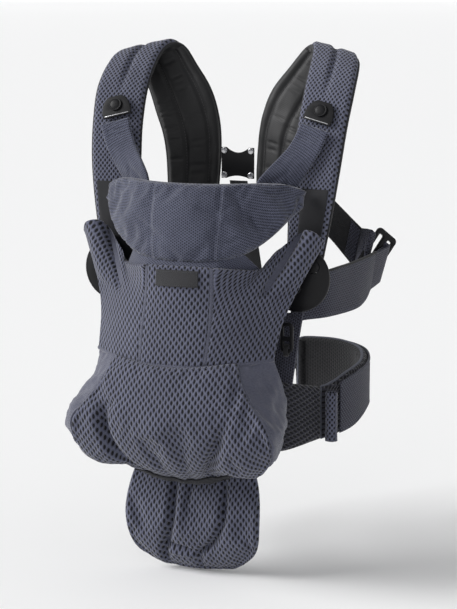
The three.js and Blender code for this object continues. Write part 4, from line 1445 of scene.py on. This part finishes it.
def make_riser(label, side):
    surface = ribbon(RISER_INNER, RISER_OUTER, side)
    strap = Cloth(surface, (18, 75), 2, -2, rim=1.8, step=2)
    piece = strap.build(f"riser_{label}", "ribbed_band")
    settle_in(piece, "harness", [f"side_riser_{label}"])
    matrix = axes(mirrored(CLIP_CENTRE, side), (1, 0, 0), (0, 0, 1))
    slots = [rounded(7, 12, 2, 0, 7), rounded(7, 9, 2, 0, -8)]
    clip = plate(f"clip_{label}", rounded(15, 34, 6), 4, 1.2, matrix, "gloss_plastic", slots)
    settle_in(clip, f"leg_clip_{label}", [f"leg_clip_{label}"])
    make_clip_loop(label, side)


CLIP_LOOP = [
    (98, -92, 61), (102, -108, 61), (106, -121, 63.5), (106, -123, 68.5), (106, -120.5, 73.5),
    (106, -116, 75), (103, -107, 72), (98, -92, 70),
]
CLIP_LOOP_HALF_WIDTH = 2.9


def make_clip_loop(label, side):
    """Webbing through the leg clip."""
    shifts = (-CLIP_LOOP_HALF_WIDTH, CLIP_LOOP_HALF_WIDTH)
    edges = [catmull([(x + shift, y, z) for x, y, z in CLIP_LOOP], side) for shift in shifts]
    loop = Cloth(ribbon_of(*(edges if side > 0 else edges[::-1])), (6, 72), 0.6, -0.6, rim=0.5, step=1.6)
    piece = loop.build(f"clip_loop_{label}", "black_webbing")
    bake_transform(piece)


# ---------- waist belt ----------
def belt_relief(seed, amount=0.6):
    return lambda c: amount * ripples(c.y, c.x, 40, seed) + 0.8 * (1 - c.s**2)


def make_belt():
    front = Cloth(belt_front, (84, 300), BELT_HALF, -BELT_HALF, rim=5, step=2.6, relief=belt_relief(61),
                  under=lambda c: -belt_relief(62)(c))
    piece = front.build("belt_front_cloth", "belt_lining", "belt_mesh")
    settle_in(piece, "harness", ["belt_front_pad"])
    crease = BELT_CREASE / (len(BELT_PLAN) - 1)
    for label, side in SIDES:
        pad = belt_side(side, crease + 0.003, 1)
        outer = Cloth(pad, (58, 215), BELT_HALF, 0.3, rim=4, step=2.6, middle=0.5, relief=belt_relief(63))
        piece = outer.build(f"belt_cover_{label}", "belt_mesh")
        settle_in(piece, "harness", [f"belt_side_cover_{label}"])
        inner = Cloth(pad, (58, 215), -0.5, -BELT_HALF, rim=4, step=2.6, middle=-0.6,
                      under=belt_lining_relief(side))
        piece = inner.build(f"belt_inner_{label}", "belt_lining")
        settle_in(piece, "harness", [f"belt_side_lining_{label}"])
        piece = edge_binding(f"belt_binding_{label}", pad, 100, 1.3, 1.8, "thread", 3)
        settle_in(piece, "harness")
        surface = patch(belt_side(side, crease + 0.053, 0.8), 0.02, 0.98, 0, 1)
        band = Cloth(surface, (54, 180), BELT_HALF + 3.9, BELT_HALF + 1.8, rim=1.1, step=2.6,
                     middle=BELT_HALF + 2.8)
        piece = band.build(f"belt_band_cloth_{label}", "ribbed_band")
        settle_in(piece, "harness", [f"belt_band_{label}"])
        v = np.linspace(0.02, 0.98, 90)
        rows = [band.on(np.full_like(v, a), v, 0.12) for a in (0.05, 0.95)]
        sew(f"belt_band_stitching_{label}", rows, "harness", "ribbed_band", "thread", 2.4, 1.4, 0.26)
        make_keeper(label, side)


def belt_lining_relief(side):
    def relief(c):
        start = 0.97 if side > 0 else 0.03
        end = 0.60 if side > 0 else 0.40
        share = (c.v - start) / (end - start)
        slanted = (c.u - (0.08 + 0.8 * share)) * 55
        return 1.9 * groove(slanted, 2.2) * (share > 0) * (share < 1.1) - 0.8 * (1 - c.s**2)

    return relief


def make_keeper(label, side):
    """Rolled mesh loop: a sleeve open at both ends, a little flattened against the belt."""
    count, sides, height, wall, outer = 22, 40, 54, 1.9, 7.0
    centre = outer - wall / 2
    turn = np.linspace(0, 2 * np.pi, sides, endpoint=False)
    x0, y0, z0 = mirrored(KEEPER_CENTRE, side)
    profile = [(outer, k) for k in np.linspace(-0.5, 0.5, count)]
    turns = np.linspace(0.3, math.pi, 6)
    lip = [(centre + wall / 2 * math.cos(a), 0.5 + 0.018 * math.sin(a)) for a in turns]
    inner = [(outer - wall, k) for k in np.linspace(0.5, -0.5, count)]
    turns = np.linspace(0.3, math.pi - 0.3, 5)
    low = [(centre - wall / 2 * math.cos(a), -0.5 - 0.018 * math.sin(a)) for a in turns]
    ring = profile + lip + inner[1:] + low
    verts, uv = [], []
    length = 0.0
    for k, (r, h) in enumerate(ring):
        radius = r + 0.25 * np.sin(5 * turn + h * 9)
        verts.append(np.stack([x0 + radius * np.cos(turn), y0 + radius * np.sin(turn) * 0.93,
                               np.full(sides, z0 + h * height)], -1))
        if k:
            length += math.hypot(r - ring[k - 1][0], (h - ring[k - 1][1]) * height)
        uv.append(np.stack([turn * outer, np.full(sides, length)], -1))
    faces = ring_quads(len(ring), sides, closed=True)
    made = new_object(f"keeper_loop_{label}", np.concatenate(verts), faces, np.concatenate(uv))
    paint(made, "strap_mesh")
    settle_in(made, "harness", [f"belt_keeper_{label}"])
    line = [(x0 + side * 5.9, y0 - 3.0, z0 + k * height / 2) for k in np.linspace(-0.98, 0.98, 30)]
    seam = tube(f"keeper_seam_{label}", line, (side * 0.9, -0.45, 0), 1.3, 1.2, "jersey", step=3)
    settle_in(seam, "harness")


# ---------- rear buckle and webbing ----------
TONGUE_OUTLINE = [
    (22, -12), (26, -8), (26, 8), (22, 12), (-2, 12), (-2, 17), (-20, 17), (-20, -17), (-2, -17), (-2, -12),
]
SPINE = [(15, 239), (61, 141), (93, 52)]      # y and z down the back


def make_waist_buckle():
    matrix = axes((20, BUCKLE_Y, BUCKLE_Z), (0, 1, 0), (0, 0, 1))
    slot = [rounded(6.4, 27, 1.5)]
    socket = plate("buckle_socket", rounded(12, 34, 4), 34, 1.4, matrix, "gloss_plastic", slot)
    settle_in(socket, "harness", ["waist_buckle_socket"])
    matrix = axes((0, BUCKLE_Y, BUCKLE_Z), (1, 0, 0), (0, 0, 1))
    slot = [rounded(5, 27, 1.5, -13, 0)]
    tongue = plate("buckle_tongue", TONGUE_OUTLINE, 5, 0.9, matrix, "gloss_plastic", slot)
    settle_in(tongue, "waist_tongue", ["waist_buckle_tongue"])
    for label, side in SIDES:
        near = 38.5 if side > 0 else 46
        path = [(near, BUCKLE_Y), (near + 6, BUCKLE_Y + 1), (56, BUCKLE_Y + 6.5), (76, BUCKLE_Y + 5)]
        surface = ribbon([(x, y, 1) for x, y in path], [(x, y, 27) for x, y in path], side)
        make_webbing(f"waist_webbing_cloth_{label}", surface, (26, 38), f"waist_webbing_{label}")
    spine = ribbon([(-11, y, z) for y, z in SPINE], [(11, y, z) for y, z in SPINE])
    make_webbing("spine_webbing", spine, (22, 205), "back_webbing")


def make_webbing(name, surface, size, node):
    strap = Cloth(surface, size, 1.15, -1.15, rim=1.0, step=2.5)
    piece = strap.build(name, "black_webbing")
    settle_in(piece, "harness", [node])


# ---------- cloth simulation ----------
PUFFED = []                       # (shell, pressure, cap in millimetres, s of each pinned seam)
PUFF_FRAMES = 16


def puff_all():
    """Inflates the padded pieces a little under their own cloth: edges and seams stay pinned."""
    scene = bpy.context.scene
    for cloth, pressure, cap, seams in PUFFED:
        piece = cloth.object
        held = piece.vertex_groups.new(name="held")
        weight = 1 - np.clip((cloth.full - 0.55) / 0.45, 0, 1) ** 1.5
        for s in seams:
            weight = np.maximum(weight, groove((cloth.s - s) * cloth.width / 2, 2.5))
        inner = weight[1:-1, 1:-1].ravel()
        for index, value in enumerate(np.concatenate([weight.ravel(), inner])):
            held.add([index], float(value), "REPLACE")
        work = piece.modifiers.new("puff", "CLOTH")
        setup = work.settings
        setup.quality = 4
        setup.mass = 0.25
        setup.tension_stiffness = setup.compression_stiffness = 12
        setup.shear_stiffness = 6
        setup.bending_stiffness = 0.4
        setup.shrink_min = -0.035
        setup.use_pressure = True
        setup.uniform_pressure_force = pressure
        setup.vertex_group_mass = "held"
        setup.pin_stiffness = 1.0
        setup.effector_weights.gravity = 0
        work.collision_settings.use_collision = False
    for step in range(1, PUFF_FRAMES + 1):
        scene.frame_set(step)
    graph = bpy.context.evaluated_depsgraph_get()
    for cloth, _, cap, _ in PUFFED:
        piece = cloth.object
        total = len(piece.data.vertices)
        before, after = np.zeros(total * 3, np.float32), np.zeros(total * 3, np.float32)
        piece.data.vertices.foreach_get("co", before)
        piece.evaluated_get(graph).data.vertices.foreach_get("co", after)
        move = (after - before).reshape(-1, 3)
        far = np.linalg.norm(move, axis=1, keepdims=True)
        move = move * np.minimum(1, cap * MM / np.maximum(far, 1e-9))
        piece.data.vertices.foreach_set("co", (before + move.ravel()).astype(np.float32))
        piece.data.update()
        piece.modifiers.clear()
        piece.vertex_groups.clear()
        cloth.refresh()
    scene.frame_set(1)


# ---------- stage ----------
def make_stage():
    scene = bpy.context.scene
    scene.view_settings.view_transform = "Standard"
    world = bpy.data.worlds.new("studio")
    world.use_nodes = True
    background = world.node_tree.nodes["Background"]
    background.inputs["Color"].default_value = (0.985, 0.99, 1.0, 1)
    background.inputs["Strength"].default_value = 0.41
    scene.world = world
    floor_z = min(CAD_BOX[0][2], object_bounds()[0][2]) - 0.001
    reach = 60
    corners = [(-reach, -reach, 0), (reach, -reach, 0), (reach, reach, 0), (-reach, reach, 0)]
    pale = {"Base Color": (0.93, 0.93, 0.93, 1), "Roughness": 0.95}
    stage_object("floor", corners, [(0, 1, 2, 3)], floor_z, pale)
    make_backdrop(floor_z, 26.0)
    add_sun("key", (-1.7, -0.8, 1.05), 3.5, 36)
    add_sun("fill", (0.1, -1.3, 0.5), 0.2, 50)


def stage_object(name, verts, faces, low, settings):
    """Floor or wall in one plain material, whose settings are named like the shader's sockets."""
    mesh = bpy.data.meshes.new(name)
    mesh.from_pydata(verts, [], faces)
    made = bpy.data.objects.new(name, mesh)
    made.location.z = low
    bpy.context.scene.collection.objects.link(made)
    look = bpy.data.materials.new(f"pale {name}")
    look.use_nodes = True
    for socket, value in settings.items():
        look.node_tree.nodes["Principled BSDF"].inputs[socket].default_value = value
    mesh.materials.append(look)
    return made


def make_backdrop(low, radius, height=3.4, sides=64):
    """Low pale wall far round the floor, so that level views show no horizon."""
    turn = np.linspace(0, 2 * np.pi, sides, endpoint=False)
    verts = [(radius * math.cos(a), radius * math.sin(a), z) for z in (0, height) for a in turn]
    faces = [(k, (k + 1) % sides, sides + (k + 1) % sides, sides + k) for k in range(sides)]
    glow = {"Base Color": (0, 0, 0, 1), "Emission Color": (0.985, 0.99, 1.0, 1), "Emission Strength": 0.91}
    wall = stage_object("backdrop", verts, faces, low, glow)
    wall.visible_shadow = False


def add_sun(name, towards, strength, spread):
    light = bpy.data.lights.new(name, "SUN")
    light.energy = strength
    light.angle = math.radians(spread)
    made = bpy.data.objects.new(name, light)
    made.rotation_euler = Vector(towards).to_track_quat("Z", "Y").to_euler()
    bpy.context.scene.collection.objects.link(made)


def make_camera():
    azimuth, elevation, distance = math.radians(20.5), math.radians(9.7), 2.5
    target = Vector((-0.006, -0.0023, 0.095))
    flat = math.cos(elevation)
    back = Vector((math.sin(azimuth) * flat, -math.cos(azimuth) * flat, math.sin(elevation)))
    data = bpy.data.cameras.new("camera")
    data.lens = 126.3
    data.sensor_width = 36
    camera = bpy.data.objects.new("camera", data)
    camera.location = target + back * distance
    camera.rotation_euler = (-back).to_track_quat("-Z", "Y").to_euler()
    bpy.context.scene.collection.objects.link(camera)
    bpy.context.scene.camera = camera


# ---------- the whole carrier ----------
make_camera()
for label, side in SIDES:
    make_shoulder_strap(label, side)
    make_head_strap(label, side)
    make_snap(label, side)
    make_side_buckle(label, side)
    make_side_strap(label, side)
    make_side_band(label, side)
    make_slider(label, side)
    make_riser(label, side)
make_coupler()
head_cushion = make_head_support()
make_panel()
seat = make_seat()
make_flap()
make_belt()
make_waist_buckle()
puff_all()
finish_head_support(head_cushion)
finish_seat(seat)
make_head_hinge()
make_webs()
make_stage()
